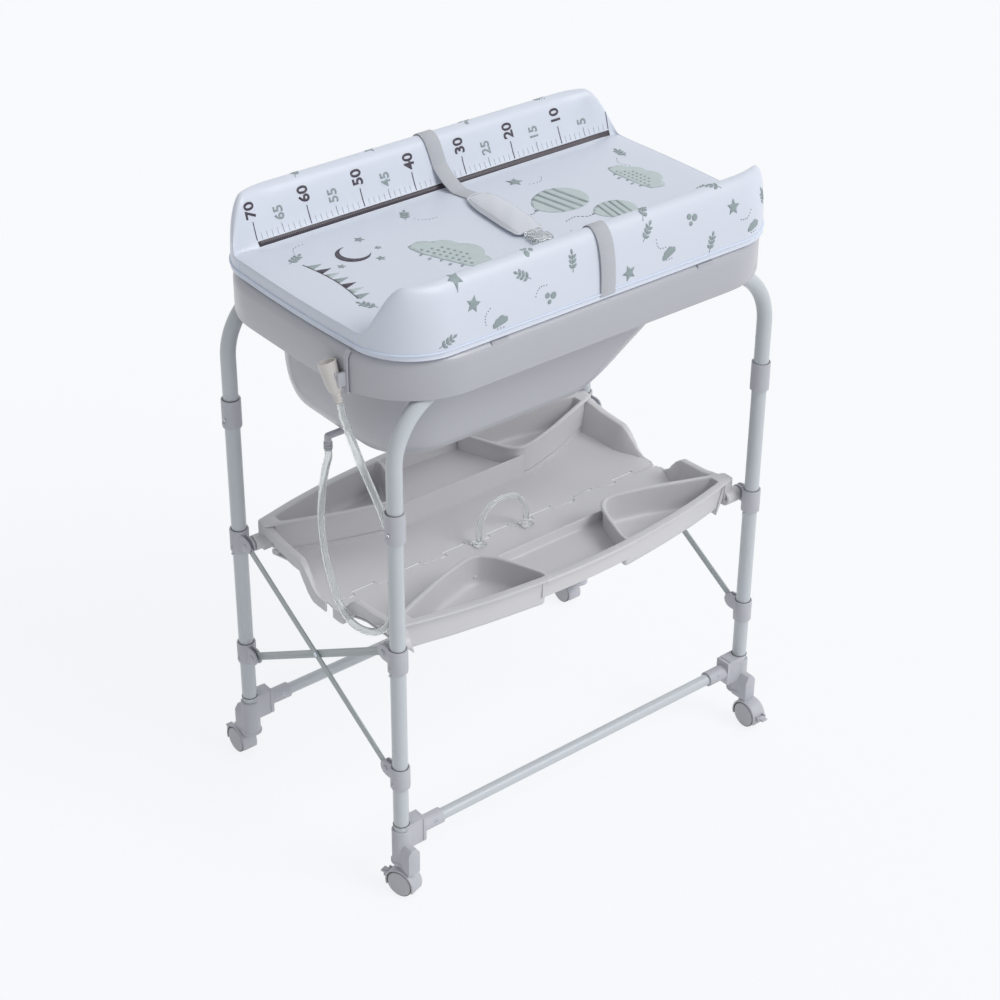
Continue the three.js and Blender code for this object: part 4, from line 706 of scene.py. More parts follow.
def addMat(s):
    base = matBaseRing(s)
    rings = [[Vector((p.x * 0.5, p.y * 0.5, p.z)) for p in base], matBaseRing(s, s["edge"])]
    for i in range(s["levels"]):
        height, breadth = tableAt(s["profile"], i / (s["levels"] - 1))
        rings.append(matWallRing(base, s, height, breadth))
    last = rings[-1]
    floor = (s["base"] + s["endHeight"] + s["crown"]) * mm
    for i in range(1, s["floorRings"] + 1):
        share = 1 - i / (s["floorRings"] + 0.5)
        rings.append([Vector((p.x * share, p.y * share, mix(floor, p.z, share ** 4))) for p in last])
    body = loftPiece("paddedMat", rings, False, 60)
    dress(body, "matVinyl", "mat", "mat_cover", "changing_mat")
    return body


matBody = addMat(mat)
print("mat ready")

# piping and seams of the mat cover
cover = {
    "pipingRadius": 1.7, "pipingRise": 8, "pipingProud": 0.5, "seamRadius": 1.1, "seamEndX": 372, "seamY": 147,
    "probe": 40,
}


def closedTube(name, path, radius, sides=10):
    count = len(path)
    rings = []
    for i, point in enumerate(path):
        tangent = (path[(i + 1) % count] - path[i - 1]).normalized()
        side = tangent.cross(Vector((0, 0, 1))).normalized()
        up = side.cross(tangent)
        rings.append([point + side * (u * radius) + up * (v * radius) for u, v in disc(1, sides)])
    return loftPiece(name, rings, True, 80)


def addCoverTrim(s, m):
    ring = matBaseRing(m, -s["pipingProud"])
    path = [p + Vector((0, 0, s["pipingRise"] * mm)) for p in ring]
    piping = closedTube("matPiping", path, s["pipingRadius"] * mm)
    dress(piping, "matPiping", "mat", "mat_cover")
    seams = []
    for sx in (-1, 1):
        for sy in (-1, 1):
            line = []
            for i in range(9):
                z = mix(m["base"] + 2, m["base"] + m["endHeight"] - 2.5, i / 8)
                start = Vector((sx * (s["seamEndX"] + s["probe"]), sy * s["seamY"], z)) * mm
                hit = matSurface.ray_cast(start, Vector((-sx, 0, 0)))
                line.append(hit[0])
            seams.append(tubePiece("matSeam", line, s["seamRadius"] * mm, 8))
    dress(joinPieces("matEndSeams", seams), "matPiping", "mat", "mat_cover")


def surfaceOf(obj):
    bm = bmesh.new()
    bm.from_mesh(obj.data)
    tree = BVHTree.FromBMesh(bm)
    bm.free()
    return tree


matSurface = surfaceOf(matBody)
addCoverTrim(cover, mat)
print("mat trim ready")

# webbing strap over the mat, its pad and its clear buckle
strap = {
    "x": 15, "width": 28, "thickness": 2, "drift": 16, "gap": 0.7, "slack": 1.6, "backEnd": 97, "frontStart": 93,
    "footRise": 3, "stations": 96,
    "driftTable": [(1, 0), (0.88, 0), (0.43, 1), (-0.22, -0.06), (-0.4, -0.25), (-0.88, -0.69), (-1, -0.62)],
}
pad = {
    "start": 102.7, "end": -53.3, "halfWidth": 28, "height": 13, "lift": 0.7, "welt": 1.0, "stitchInset": 4.2,
    "stitchLength": 3.4, "stitchGap": 2.0, "stitchEnd": 7, "stitchRadius": 0.42, "across": 22, "along": 56,
    "widths": [(0.7,), (0.93,), (1,), (1,), (0.99,), (0.9,)],
    "heights": [(0.5,), (0.86,), (1,), (0.98,), (0.9,), (0.55,)],
}
buckle = {"from": -53.6, "to": -95.6, "halfWidth": 17, "height": 9, "lift": 0.6, "joint": -74}


def strapX(s, y):
    share = y / mat["halfY"]
    rows = s["driftTable"]
    for (a, da), (b, db) in zip(rows, rows[1:]):
        if share >= b or (b, db) == rows[-1]:
            t = min(max((a - share) / (a - b), 0), 1)
            return s["x"] + s["drift"] * mix(da, db, t)


def floorZ(y):
    share = min(abs(y) / mat["floorY"], 1)
    return mat["base"] + mat["endHeight"] + mat["crown"] * (1 - share ** 4)


def matSection(s):
    points = []
    for i in range(s["sectionSteps"] + 1):
        height, breadth = tableAt(s["profile"], i / s["sectionSteps"])
        z = matRise(s, s["wallHeight"], height, breadth)
        points.append((s["halfY"] - (s["halfY"] - s["floorY"]) * min(breadth, 1), s["base"] + z))
    return points


def strapPath(s, sy, endY):
    line = [(y, z) for y, z in matSection(mat) if z > mat["base"] + s["footRise"]]
    y = mat["floorY"] - 6
    while y > endY:
        line.append((y, floorZ(y)))
        y -= 6
    line.append((endY, floorZ(endY)))
    path = [Vector((0, sy * y, z)) for y, z in line]
    for sweep in range(60):
        before = [p.copy() for p in path]
        for i in range(1, len(path) - 1):
            if abs(abs(path[i].y) - mat["floorY"]) < 22 and path[i].z < mat["base"] + 60:
                path[i] = (before[i - 1] + before[i + 1]) / 2
    outer = [i for i, p in enumerate(path) if abs(p.y) > mat["halfY"] - 20]
    for i in outer:
        path[i].y += sy * s["slack"] * sin(pi * min(1, i / len(outer)))
    for p in path:
        p.x = strapX(s, p.y)
    path = evenly(catmull([p * mm for p in path], 3), s["stations"])
    for sweep in range(6):
        before = [p.x for p in path]
        for i in range(1, len(path) - 1):
            path[i].x = (before[i - 1] + before[i] * 2 + before[i + 1]) / 4
    return path if sy > 0 else path[::-1]


def ribbonPiece(name, path, width, thickness, offset):
    half, deep = width / 2, thickness / 2
    lip = deep * 0.8
    section = [(-half, 0), (-half + lip * 0.35, deep * 0.75), (-half + lip, deep), (0, deep), (half - lip, deep),
               (half - lip * 0.35, deep * 0.75), (half, 0), (half - lip * 0.35, -deep * 0.75), (half - lip, -deep),
               (0, -deep), (-half + lip, -deep), (-half + lip * 0.35, -deep * 0.75)]
    rings = []
    for i, point in enumerate(path):
        tangent = (path[min(i + 1, len(path) - 1)] - path[max(i - 1, 0)]).normalized()
        side = Vector((1, 0, 0))
        side = (side - tangent * side.dot(tangent)).normalized()
        out = tangent.cross(side)
        middle = point + out * ((offset + deep) * mm)
        rings.append([middle + side * (u * mm) + out * (v * mm) for u, v in section])
    return loftPiece(name, rings, False, 50)


def addStraps(s):
    ends = (("rearStrap", 1, s["backEnd"], "strap_back"), ("frontStrap", -1, s["frontStart"], "strap_front"))
    for name, sy, end, nodeName in ends:
        piece = ribbonPiece(name, strapPath(s, sy, end), s["width"], s["thickness"], s["gap"])
        dress(piece, "strapWebbing", "mat", "webbing", nodeName)


def padPoint(s, u, t, top):
    width, = tableAt(s["widths"], t)
    high, = tableAt(s["heights"], t)
    length = s["start"] - s["end"]
    fromEnd = min(t, 1 - t) * length
    corner = min(1, sqrt(max(0, 1 - (1 - min(fromEnd / 9, 1)) ** 2)) * 0.25 + 0.75)
    half = s["halfWidth"] * width * corner
    y = mix(s["start"], s["end"], t)
    x = strapX(strap, y) + half * u
    crown = max(0, 1 - abs(u) ** 2.4) ** 0.62 * min(1, fromEnd / 7) ** 0.5
    seam = 0.34 * s["height"] * mix(0.8, 1, width)
    z = floorZ(y) + s["lift"]
    if top:
        creases = 0.45 * sin(t * 46 + u * 2.6) * (1 - t) ** 3 + 0.3 * sin(t * 19 + u * 3.9 + 1.2)
        creases += 0.35 * sin(t * 71 - u * 1.7) * t ** 8
        z += seam + (s["height"] * high - seam) * crown + creases * crown
    else:
        z += seam * (1 - max(0, 1 - abs(u) ** 3) ** 0.8 * min(1, fromEnd / 5))
    return Vector((x, y, z)) * mm

def padEnd(s, t, way, rise):
    # the short end of the welt, lifted in the middle
    line = []
    for i in range(1, 10):
        u = mix(-way, way, i / 10)
        line.append(padPoint(s, u, t, False) + Vector((0, 0, rise * mm)) * (1 - abs(u) ** 3))
    return line
def addPad(s):
    rows, across = s["along"], s["across"]
    rings = []
    for r in range(rows + 1):
        t = r / rows
        ring = [padPoint(s, -cos(pi * i / across), t, True) for i in range(across + 1)]
        ring += [padPoint(s, cos(pi * i / across), t, False) for i in range(1, across)]
        rings.append(ring)
    body = loftPiece("shoulderPad", rings, False, 70)
    dress(body, "padFabric", "mat", "webbing", "strap_pad")
    outline = [padPoint(s, -1, r / rows, False) for r in range(rows + 1)]
    outline += padEnd(s, 1, 1, 3.0)
    outline += [padPoint(s, 1, r / rows, False) for r in range(rows, -1, -1)]
    outline += padEnd(s, 0, -1, 2.6)
    dress(closedTube("padWelt", outline, s["welt"] * mm, 8), "padFabric", "mat", "webbing")
    stitches = []
    inset = s["stitchInset"] / s["halfWidth"]
    length = s["start"] - s["end"]
    for side in (-1, 1):
        t = s["stitchEnd"] / length
        while t < 1 - s["stitchEnd"] / length:
            u = side * (1 - inset)
            a, b = padPoint(s, u, t, True), padPoint(s, u, t + s["stitchLength"] / length, True)
            lift = Vector((side * 0.12, 0, 0.25)) * mm
            path = [a, a * 0.7 + b * 0.3 + lift, (a + b) / 2 + lift * 1.5, a * 0.3 + b * 0.7 + lift, b]
            stitches.append(tubePiece("stitch", path, s["stitchRadius"] * mm, 6))
            t += (s["stitchLength"] + s["stitchGap"]) / length
    dress(joinPieces("padStitches", stitches), "stitchThread", "mat", "webbing")


def slabPiece(name, outline, low, high, soft):
    rings = [[Vector((x, y, z)) * mm for x, y in outline] for z in (low, high)]
    obj = loftPiece(name, rings, False, 30)
    softEdge(obj, soft * mm, 3)
    return obj


def addBuckle(s):
    y0, y1, joint = s["from"], s["to"], s["joint"]
    z0 = floorZ(y0) + s["lift"]
    half = s["halfWidth"]

    def leaned(points):
        return [(strapX(strap, y) + x, y) for x, y in points]

    housing = leaned([
        (-half + 1, joint + 3), (-half * 0.62, joint - 1), (-half * 0.52, joint + 3), (half * 0.52, joint + 3),
        (half * 0.62, joint - 1), (half - 1, joint + 3), (half, joint - 6), (half * 0.94, y1 + 3), (half * 0.8, y1),
        (-half * 0.8, y1), (-half * 0.94, y1 + 3), (-half, joint - 6),
    ])
    tongue = leaned([
        (-half * 0.84, y0), (half * 0.84, y0), (half * 0.96, y0 - 3), (half * 0.96, y0 - 9), (half * 0.5, y0 - 13),
        (-half * 0.5, y0 - 13), (-half * 0.96, y0 - 9), (-half * 0.96, y0 - 3),
    ])
    shell = slabPiece("buckleHousing", housing, z0, z0 + s["height"], 2.0)
    dress(shell, "clearPlastic", "mat", "clear_plastic", "strap_buckle")
    inner = [slabPiece("buckleTongue", tongue, z0 + 1.2, z0 + s["height"] - 1.6, 1.4)]
    low, high = z0 + 2.2, z0 + s["height"] - 2.6
    for sx in (-1, 1):
        prong = leaned([
            (sx * half * 0.34, y0 - 11), (sx * half * 0.62, y0 - 11), (sx * half * 0.98, joint + 1),
            (sx * half * 0.99, joint - 7), (sx * half * 0.72, joint - 10), (sx * half * 0.5, joint - 2),
        ])
        inner.append(slabPiece("buckleProng" + str(len(inner)), prong[::sx], low, high, 0.9))
    guide = leaned([(-2, y0 - 11), (2, y0 - 11), (2, joint - 9), (-2, joint - 9)])
    inner.append(slabPiece("buckleProng3", guide, low, high, 0.6))
    for piece in inner:
        dress(piece, "clearPlastic", "mat", "clear_plastic")
addStraps(strap)
addPad(pad)
addBuckle(buckle)
print("strap, pad and buckle ready")

# printed ruler and nursery motifs, laid on the vinyl as thin films of ink
ruler = {
    "zero": 366, "step": 10, "last": 70, "bandLow": 2, "bandHigh": 10.5, "tickLow": 12.5, "numberGap": 4.5,
    # each kind of tick: its length, width and colour, then the size and weight of its number
    "fine": (10, 0.55, "printPale", 0, 0),
    "mid": (15, 0.8, "printSage", 23, 0.42),
    "long": (29, 1.3, "printPlum", 26, 0.62),
}
ink = {"lift": 0.5, "film": 0.4, "second": 0.35, "floorStep": 9, "wallStep": 5, "above": 1130, "beside": 330, "probe": 40}
inkFaces = {name: ([], []) for name in ("rulerBand", "printPlum", "printSage", "printPale")}


def wallPlace(v):
    # v is the way up the inside of the rear wall, from its foot
    line = matSection(mat)[::-1]
    gone = 0
    for (y0, z0), (y1, z1) in zip(line, line[1:]):
        span = hypot(y1 - y0, z1 - z0)
        if span > 1e-6 and gone + span >= v and z1 > z0 + 1e-6:
            t = (v - gone) / span
            return Vector((0, mix(y0, y1, t), mix(z0, z1, t))), Vector((0, -(z1 - z0), y1 - y0)).normalized()
        gone += span
    return Vector((0, y1, z1)), Vector((0, 0, 1))


def onRearInside(x, v):
    place, out = wallPlace(v)
    return (Vector((x, place.y, place.z)) + out * ink["probe"]) * mm, -out


def onFloor(x, y):
    return Vector((x, y, ink["above"])) * mm, Vector((0, 0, -1))


def onFront(x, z):
    return Vector((x, -ink["beside"], z)) * mm, Vector((0, 1, 0))


def onRear(x, z):
    return Vector((x, ink["beside"], z)) * mm, Vector((0, -1, 0))


def layInk(colour, outline, place, step, fills=None):
    # the flat shape is cut into small faces, and each corner is dropped onto the mat
    bm = bmesh.new()
    made = [bm.verts.new((u, v, 0)) for u, v in outline]
    for face in fills or [range(len(made))]:
        bm.faces.new([made[i] for i in face])
    bm.normal_update()
    bmesh.ops.triangulate(bm, faces=bm.faces)
    for axis in (0, 1):
        values = [v.co[axis] for v in bm.verts]
        low, high = min(values), max(values)
        cut = (low // step + 1) * step
        while cut < high - 0.2:
            point, normal = [0, 0, 0], [0, 0, 0]
            point[axis], normal[axis] = cut, 1
            bmesh.ops.bisect_plane(bm, geom=bm.verts[:] + bm.edges[:] + bm.faces[:], dist=0.0001, plane_co=point,
                                   plane_no=normal)
            cut += step
    bmesh.ops.triangulate(bm, faces=bm.faces)
    landed = {}
    for v in bm.verts:
        origin, direction = place(v.co.x, v.co.y)
        hit, out, _, _ = matSurface.ray_cast(origin, direction)
        if hit is not None:
            out = out if out.dot(direction) < 0 else -out
            landed[v] = hit + out * (ink["lift"] * mm)
    verts, faces = inkFaces[colour]
    index = {}
    for face in bm.faces:
        if all(v in landed for v in face.verts):
            corners = []
            for v in face.verts:
                if v not in index:
                    index[v] = len(verts)
                    verts.append(landed[v])
                corners.append(index[v])
            faces.append(corners)
    bm.free()


def moved(outline, centre, turn=0, scale=1):
    c, s = cos(turn) * scale, sin(turn) * scale
    return [(centre[0] + x * c - y * s, centre[1] + x * s + y * c) for x, y in outline]


def bar(x0, x1, y0, y1):
    return [(x0, y0), (x1, y0), (x1, y1), (x0, y1)]


def inkNumber(text, x, v, size, bold, colour):
    curve = bpy.data.curves.new("digits", "FONT")
    curve.body = text
    curve.size = size
    curve.offset = bold
    curve.resolution_u = 3
    curve.align_y = "CENTER"
    holder = bpy.data.objects.new("digits", curve)
    scene.collection.objects.link(holder)
    bpy.context.view_layer.update()
    mesh = bpy.data.meshes.new_from_object(holder.evaluated_get(bpy.context.evaluated_depsgraph_get()))
    outline = [(x - p.co.y, v + p.co.x) for p in mesh.vertices]
    layInk(colour, outline, onRearInside, 7, [tuple(p.vertices) for p in mesh.polygons])
    bpy.data.objects.remove(holder)
    bpy.data.curves.remove(curve)
    bpy.data.meshes.remove(mesh)


def addRuler(s):
    end = s["zero"] - s["last"] * s["step"]
    layInk("rulerBand", bar(end, s["zero"] + 1, s["bandLow"], s["bandHigh"]), onRearInside, 8)
    for count in range(s["last"] + 1):
        x = s["zero"] - count * s["step"]
        kind = "long" if count % 10 == 0 else "mid" if count % 5 == 0 else "fine"
        length, width, colour, size, bold = s[kind]
        top = s["tickLow"] + length
        layInk(colour, bar(x - width / 2, x + width / 2, s["tickLow"], top), onRearInside, 8)
        if count and size:
            inkNumber(str(count), x, top + s["numberGap"], size, bold, colour)


def leaf(length, breadth, count=8):
    side = [(length * i / count, breadth * sin(pi * i / count) ** 0.8) for i in range(count + 1)]
    return side + [(x, -y) for x, y in side[-2:0:-1]]


def starShape(radius):
    reach = [radius, radius * 0.48] * 5
    return [(r * sin(pi * i / 5), r * cos(pi * i / 5)) for i, r in enumerate(reach)]


def cloudShape(width):
    bumps = [(-0.36, 0.02, 0.17), (-0.15, 0.12, 0.22), (0.12, 0.15, 0.24), (0.36, 0.03, 0.18)]
    points = []
    for i in range(41):
        x = mix(-0.53, 0.53, i / 40)
        tops = [cy + sqrt(r * r - (x - cx) ** 2) for cx, cy, r in bumps if abs(x - cx) < r]
        points.append((x * width, max(tops + [-0.06]) * width))
    under = [(x * width, -0.14 * width * (1 - (2 * x) ** 8 * 0.5)) for x in (0.46, 0.3, 0, -0.3, -0.46)]
    return points + under


def moonShape(radius):
    outer = [radians(57.1 + 245.8 * i / 24) for i in range(25)]
    inner = [radians(287.4 - 214.8 * i / 20) for i in range(1, 20)]
    return ([(radius * cos(a), radius * sin(a)) for a in outer]
            + [(radius * (0.28 + 0.88 * cos(a)), radius * 0.88 * sin(a)) for a in inner])


def sprig(centre, turn, size, place, step):
    layInk("printSage", moved(bar(-0.5, 0.5, -0.018, 0.018), centre, turn, size), place, step)
    for x in (-0.28, -0.02, 0.22):
        root = moved([(x, 0)], centre, turn, size)[0]
        for side in (1, -1):
            layInk("printSage", moved(leaf(0.34, 0.085, 5), root, turn + side * 0.85, size), place, step)
    tip = moved([(0.44, 0)], centre, turn, size)[0]
    layInk("printSage", moved(leaf(0.3, 0.08, 5), tip, turn, size), place, step)


def dotTrail(centre, turn, length, bend, place):
    for i in range(7):
        spot = moved([(length * (i / 6 - 0.5), bend * sin(pi * i / 6))], centre, turn)[0]
        layInk("printPlum", moved(disc(0.75, 8), spot), place, 9)


def smallMotif(kind, centre, turn, size, place, step):
    if kind == "sprig":
        sprig(centre, turn, size, place, step)
    elif kind == "star":
        layInk("printSage", moved(starShape(size * 0.48), centre, turn), place, step)
    elif kind == "cloud":
        layInk("printSage", moved(cloudShape(size), centre, turn * 0.2), place, step)
        for i in (-1, 0, 1):
            layInk("printPlum", moved(disc(0.8, 8), (centre[0] + i * size * 0.2, centre[1] - size * 0.3)), place, step)
    else:
        for i in range(3):
            a = turn + i * 2.1
            spot = (centre[0] + size * 0.24 * cos(a), centre[1] + size * 0.24 * sin(a))
            layInk("printSage", moved(disc(size * (0.2 - i * 0.035), 14), spot), place, step)


def balloon(centre, turn, size, place, step):
    shell = [(x * (1 + 0.18 * y / size), y) for x, y in disc(size * 0.5, 30, 1.2)]
    layInk("printPale", moved(shell, centre, turn), place, step)
    for y in (-0.3, -0.1, 0.1, 0.3):
        half = 0.5 * size * sqrt(max(0, 1 - (y / 0.6) ** 2)) * (1 + 0.18 * y) * 0.97
        stripe = bar(-half, half, (y - 0.035) * size, (y + 0.035) * size)
        inkLayer("printSage", moved(stripe, centre, turn), place, step)
    knot = moved([(-3, -0.66 * size), (3, -0.66 * size), (0, -0.58 * size)], centre, turn)
    layInk("printSage", knot, place, step)
    for i in range(9):
        y0, y1 = -0.66 * size - i * 6, -0.66 * size - i * 6 - 3.4
        x0, x1 = 4 * sin(i * 0.9), 4 * sin((i + 0.6) * 0.9)
        dash = [(x0 - 0.5, y0), (x0 + 0.5, y0), (x1 + 0.5, y1), (x1 - 0.5, y1)]
        layInk("printPlum", moved(dash, centre, turn), place, step)


def inkLayer(colour, outline, place, step):
    # a second film over the first one
    ink["lift"] += ink["second"]
    layInk(colour, outline, place, step)
    ink["lift"] -= ink["second"]


def largeCloud(centre, turn, width, place, step):
    layInk("printPale", moved(cloudShape(width), centre, turn), place, step)
    for row in range(3):
        for i in range(-4 + row, 5 - row):
            spot = moved([(i * width * 0.085, (-0.05 + row * 0.09) * width)], centre, turn)[0]
            inkLayer("printSage", moved(disc(width * 0.02, 10), spot), place, step)
    for i in range(-2, 3):
        drop = [(i * width * 0.14 + y * 0.9, -0.2 * width - (i % 2) * 5 + x) for x, y in leaf(9, 2.4, 6)]
        layInk("printSage", moved(drop, centre, turn), place, step)


def addMotifs():
    floorStep, wallStep = ink["floorStep"], ink["wallStep"]
    kinds = ["sprig", "star", "cloud", "sprig", "dots", "sprig", "star", "sprig", "cloud", "dots"]
    spots = [(-292, 973, 0.4), (-242, 1016, 2.2), (-196, 974, 1.1), (-148, 1030, 2.6), (-104, 985, 0.3),
             (-58, 1024, 1.5), (48, 978, 2.8), (86, 1029, 0.9), (128, 985, 2.1), (176, 1026, 0.2),
             (214, 977, 1.3), (262, 1022, 2.4), (306, 978, 0.8), (338, 1012, 1.9)]
    for i, (x, z, turn) in enumerate(spots):
        smallMotif(kinds[i % len(kinds)], (x, z), turn, 27, onFront, wallStep)
        smallMotif(kinds[(i + 3) % len(kinds)], (-x + 12, z), turn + 1, 27, onRear, wallStep)
    for x, z, turn, bend in ((-120, 1000, 0.5, 6), (112, 1006, 2.4, 7), (288, 1003, 0.4, -6), (-218, 990, 1.2, 5)):
        dotTrail((x, z), turn, 24, bend, onFront)
    crest = [(-262, -218, 0.4), (-128, -214, 1.9), (92, -216, 0.9), (236, -214, 2.5), (-232, 215, 1.1), (-92, 218, 2.3),
             (96, 214, 0.5), (254, 217, 1.8)]
    for i, (x, y, turn) in enumerate(crest):
        smallMotif(kinds[(i * 3 + 1) % len(kinds)], (x, y), turn, 26, onFloor, 3.5)
    inside = [(-318, 96, 0.5), (-318, -92, 2.0), (-96, 118, 1.0), (-52, -112, 2.7), (118, 112, 0.7),
              (116, -118, 2.2), (330, 96, 1.4), (338, -88, 0.2)]
    for i, (x, y, turn) in enumerate(inside):
        smallMotif(kinds[(i * 2 + 3) % len(kinds)], (x, y), turn, 30, onFloor, floorStep)
    trails = [(-292, 122, 0.6, 8), (-76, 92, 2.6, 7), (148, 96, 0.3, -8), (308, 66, 1.5, 8), (84, -92, 2.5, 7)]
    for x, y, turn, bend in trails:
        dotTrail((x, y), turn, 34, bend, onFloor)
    largeCloud((-128, -34), -1.2, 128, onFloor, floorStep)
    balloon((128, 14), -1.42, 84, onFloor, floorStep)
    balloon((176, -64), -1.75, 60, onFloor, floorStep)
    largeCloud((282, 8), -1.5, 104, onFloor, floorStep)
    layInk("printPlum", moved(moonShape(27), (-238, 58), 0.5), onFloor, floorStep)
    for x, y, r in ((-202, 92, 9), (-276, 34, 7), (-196, 52, 6), (-214, 20, 8)):
        layInk("printSage", moved(starShape(r), (x, y), x), onFloor, floorStep)
    line = [(-318 + 7 * sin(pi * i / 14), mix(-66, 74, i / 14)) for i in range(15)]
    for i, (x, y) in enumerate(line[:-1]):
        x1, y1 = line[i + 1]
        layInk("printPlum", [(x - 0.6, y), (x + 0.6, y), (x1 + 0.6, y1), (x1 - 0.6, y1)], onFloor, floorStep)
        if i % 2 == 0:
            flag = [(x1 + 0.6, mix(y, y1, -0.25)), (x1 + 0.6, mix(y, y1, 1.25)), (x1 + 22, mix(y, y1, 0.5))]
            layInk(("printSage", "printPale", "printPlum")[i // 2 % 3], flag, onFloor, floorStep)


def addPrint():
    addRuler(ruler)
    addMotifs()
    for name, (verts, faces) in inkFaces.items():
        obj = meshPiece(name, verts, faces, 60)
        film = obj.modifiers.new("inkFilm", "SOLIDIFY")
        film.thickness = ink["film"] * mm
        film.offset = -1
        dress(obj, name, "mat", "mat_cover")


addPrint()
print("print ready:", sum(len(faces) for verts, faces in inkFaces.values()), "faces")

# storage tray: two halves with deep corner pockets, a middle shelf and leaning end bands
tray = {
    "halfLength": 349, "floorZ": 427, "wall": 3, "rimZ": 489, "lip": 3, "lipHeight": 5, "seamGap": 2.3,
    "fingerDepth": 3, "fingerPitch": 46, "fingerSideGap": 0.5, "knuckleRadius": 5, "innerWallY": 108,
    "endInnerY": 173, "middleY": 238, "endOuterY": 192, "cornerX": 84, "cornerRoundX": 142, "rimWidth": 11,
    "endRimWidth": 17, "cavityEnd": 29, "draft": 4, "bottomZ": 433, "shelfZ": 452, "shelfWallZ": 470,
    "bandStart": 0.08, "bandWall": 3.5, "bandUnder": 3.7, "bandLip": 3, "bandLipSlope": 0.2, "bandFootSlope": 0.22,
    "overlap": 9, "pivotY": 187, "pivotZ": 452, "bossRadius": 13, "bossEnd": 363, "bossWall": 16, "bossBore": 5.4,
    # the inner side of a pocket, by the places of its points in the plan
    "innerPoints": (18, 42),
    "cornerShares": [(0, 0.8), (0.27, 0.45), (0.55, 0.14), (0.86, 0)],
    "wallShares": [(0.08, 0), (0.4, 0.28), (1, 1)],
    "bandShares": [
        (0.03, 0, -0.29), (0.14, 0.01, -0.29), (0.21, 0.14, -0.28), (0.28, 0.4, -0.12), (0.34, 0.6, 0.12),
        (0.41, 0.73, 0.4), (0.68, 0.77, 0.5), (0.78, 0.83, 0.6), (1, 0.95, 0.75),
    ],
}


def trayEdge(s, x):
    return mix(s["middleY"], s["endOuterY"], (x / s["halfLength"]) ** 2)


def roundedOutline(points, radii, steps=5):
    # each corner becomes a short bend, always with the same number of points
    out = []
    count = len(points)
    for i, point in enumerate(points):
        p, a, b = Vector(point), Vector(points[i - 1]), Vector(points[(i + 1) % count])
        reach = min(radii[i], (p - a).length * 0.48, (b - p).length * 0.48)
        start, end = p + (a - p).normalized() * reach, p + (b - p).normalized() * reach
        for k in range(steps + 1):
            t = k / steps
            out.append(start * (1 - t) ** 2 + p * (2 * t * (1 - t)) + end * t ** 2)
    return out


def pocketPlan(s, inset, side, end, grow=0):
    endX = s["halfLength"] - end
    points, radii = [], []
    for along, across in s["cornerShares"]:
        x = mix(s["cornerX"], s["cornerRoundX"], along) + inset
        points.append((x, mix(s["innerWallY"], trayEdge(s, s["cornerX"]), across) + inset * (1 - across)))
        radii.append(13)
    for along, across in s["wallShares"]:
        x = mix(s["cornerRoundX"], endX, along)
        reach = across * (endX - s["cornerRoundX"]) / (s["halfLength"] - s["cornerRoundX"])
        points.append((x, mix(s["innerWallY"], s["endInnerY"], reach) + inset))
        radii.append(16 if across < 1 else 5)
    for i, share in enumerate((0, 0.3, 0.6, 1)):
        x = mix(endX, s["cornerX"] + inset, share)
        points.append((x, trayEdge(s, x) - side))
        radii.append((5, 20, 20, 9)[i])
    outline = roundedOutline(points, radii)
    middle = sum(outline, Vector((0, 0))) / len(outline)
    if grow:
        outline = [p + (middle - p).normalized() * grow for p in outline]
    return outline


def addPocket(s, sx, sy):
    wall, rim, low = s["wall"], s["rimZ"], s["bottomZ"]
    draft, width, endWidth, cavityEnd = s["draft"], s["rimWidth"], s["endRimWidth"], s["cavityEnd"]

    def skin(t):
        return 0, width + draft * (1 - t), endWidth

    def hollow(t):
        return wall, width + wall + draft * (1 - t), cavityEnd + draft * (1 - t)

    plans = [(skin(0), low, 5), (skin(0.03), low + 1.2, 2), (skin(0.08), low + 4, 0)]
    plans += [(skin(mix(0.1, 1, i / 5)), mix(low + 8, rim - s["lipHeight"] - 1.5, i / 5), 0) for i in range(6)]
    lip, under = s["lip"], rim - s["lipHeight"]
    plans += [((-lip * 0.6, 1.4, 0.8), under, 0), ((-lip, 0.3, 0), under + 0.9, 0), ((-lip, 0, 0), rim - 1.9, 0),
              ((-lip + 0.5, 0.5, 0.5), rim - 0.6, 0), ((-lip + 1.6, 1.7, 1.7), rim, 0)]
    for less, drop in ((2.4, 0), (0.8, 0.6), (0.1, 2)):
        plans.append(([reach - less for reach in hollow(1)], rim - drop, 0))
    bottom = low + wall
    plans += [(hollow(mix(1, 0.16, i / 6)), mix(rim - 4, bottom + 9, i / 6), 0) for i in range(7)]
    plans += [(hollow(0.1), bottom + 4.5, 1.2), (hollow(0.05), bottom + 1.6, 4), (hollow(0.02), bottom + 0.4, 8),
              (hollow(0), bottom, 14)]
    rings = []
    for (inset, side, end), z, grow in plans:
        rings.append([Vector((sx * p.x, sy * p.y, z)) * mm for p in pocketPlan(s, inset, side, end, grow)])
    return loftPiece("pocket", rings, False, 50)


def alongPiece(name, stations):
    return loftPiece(name, [[Vector(p) * mm for p in ring] for ring in stations], False, 40)


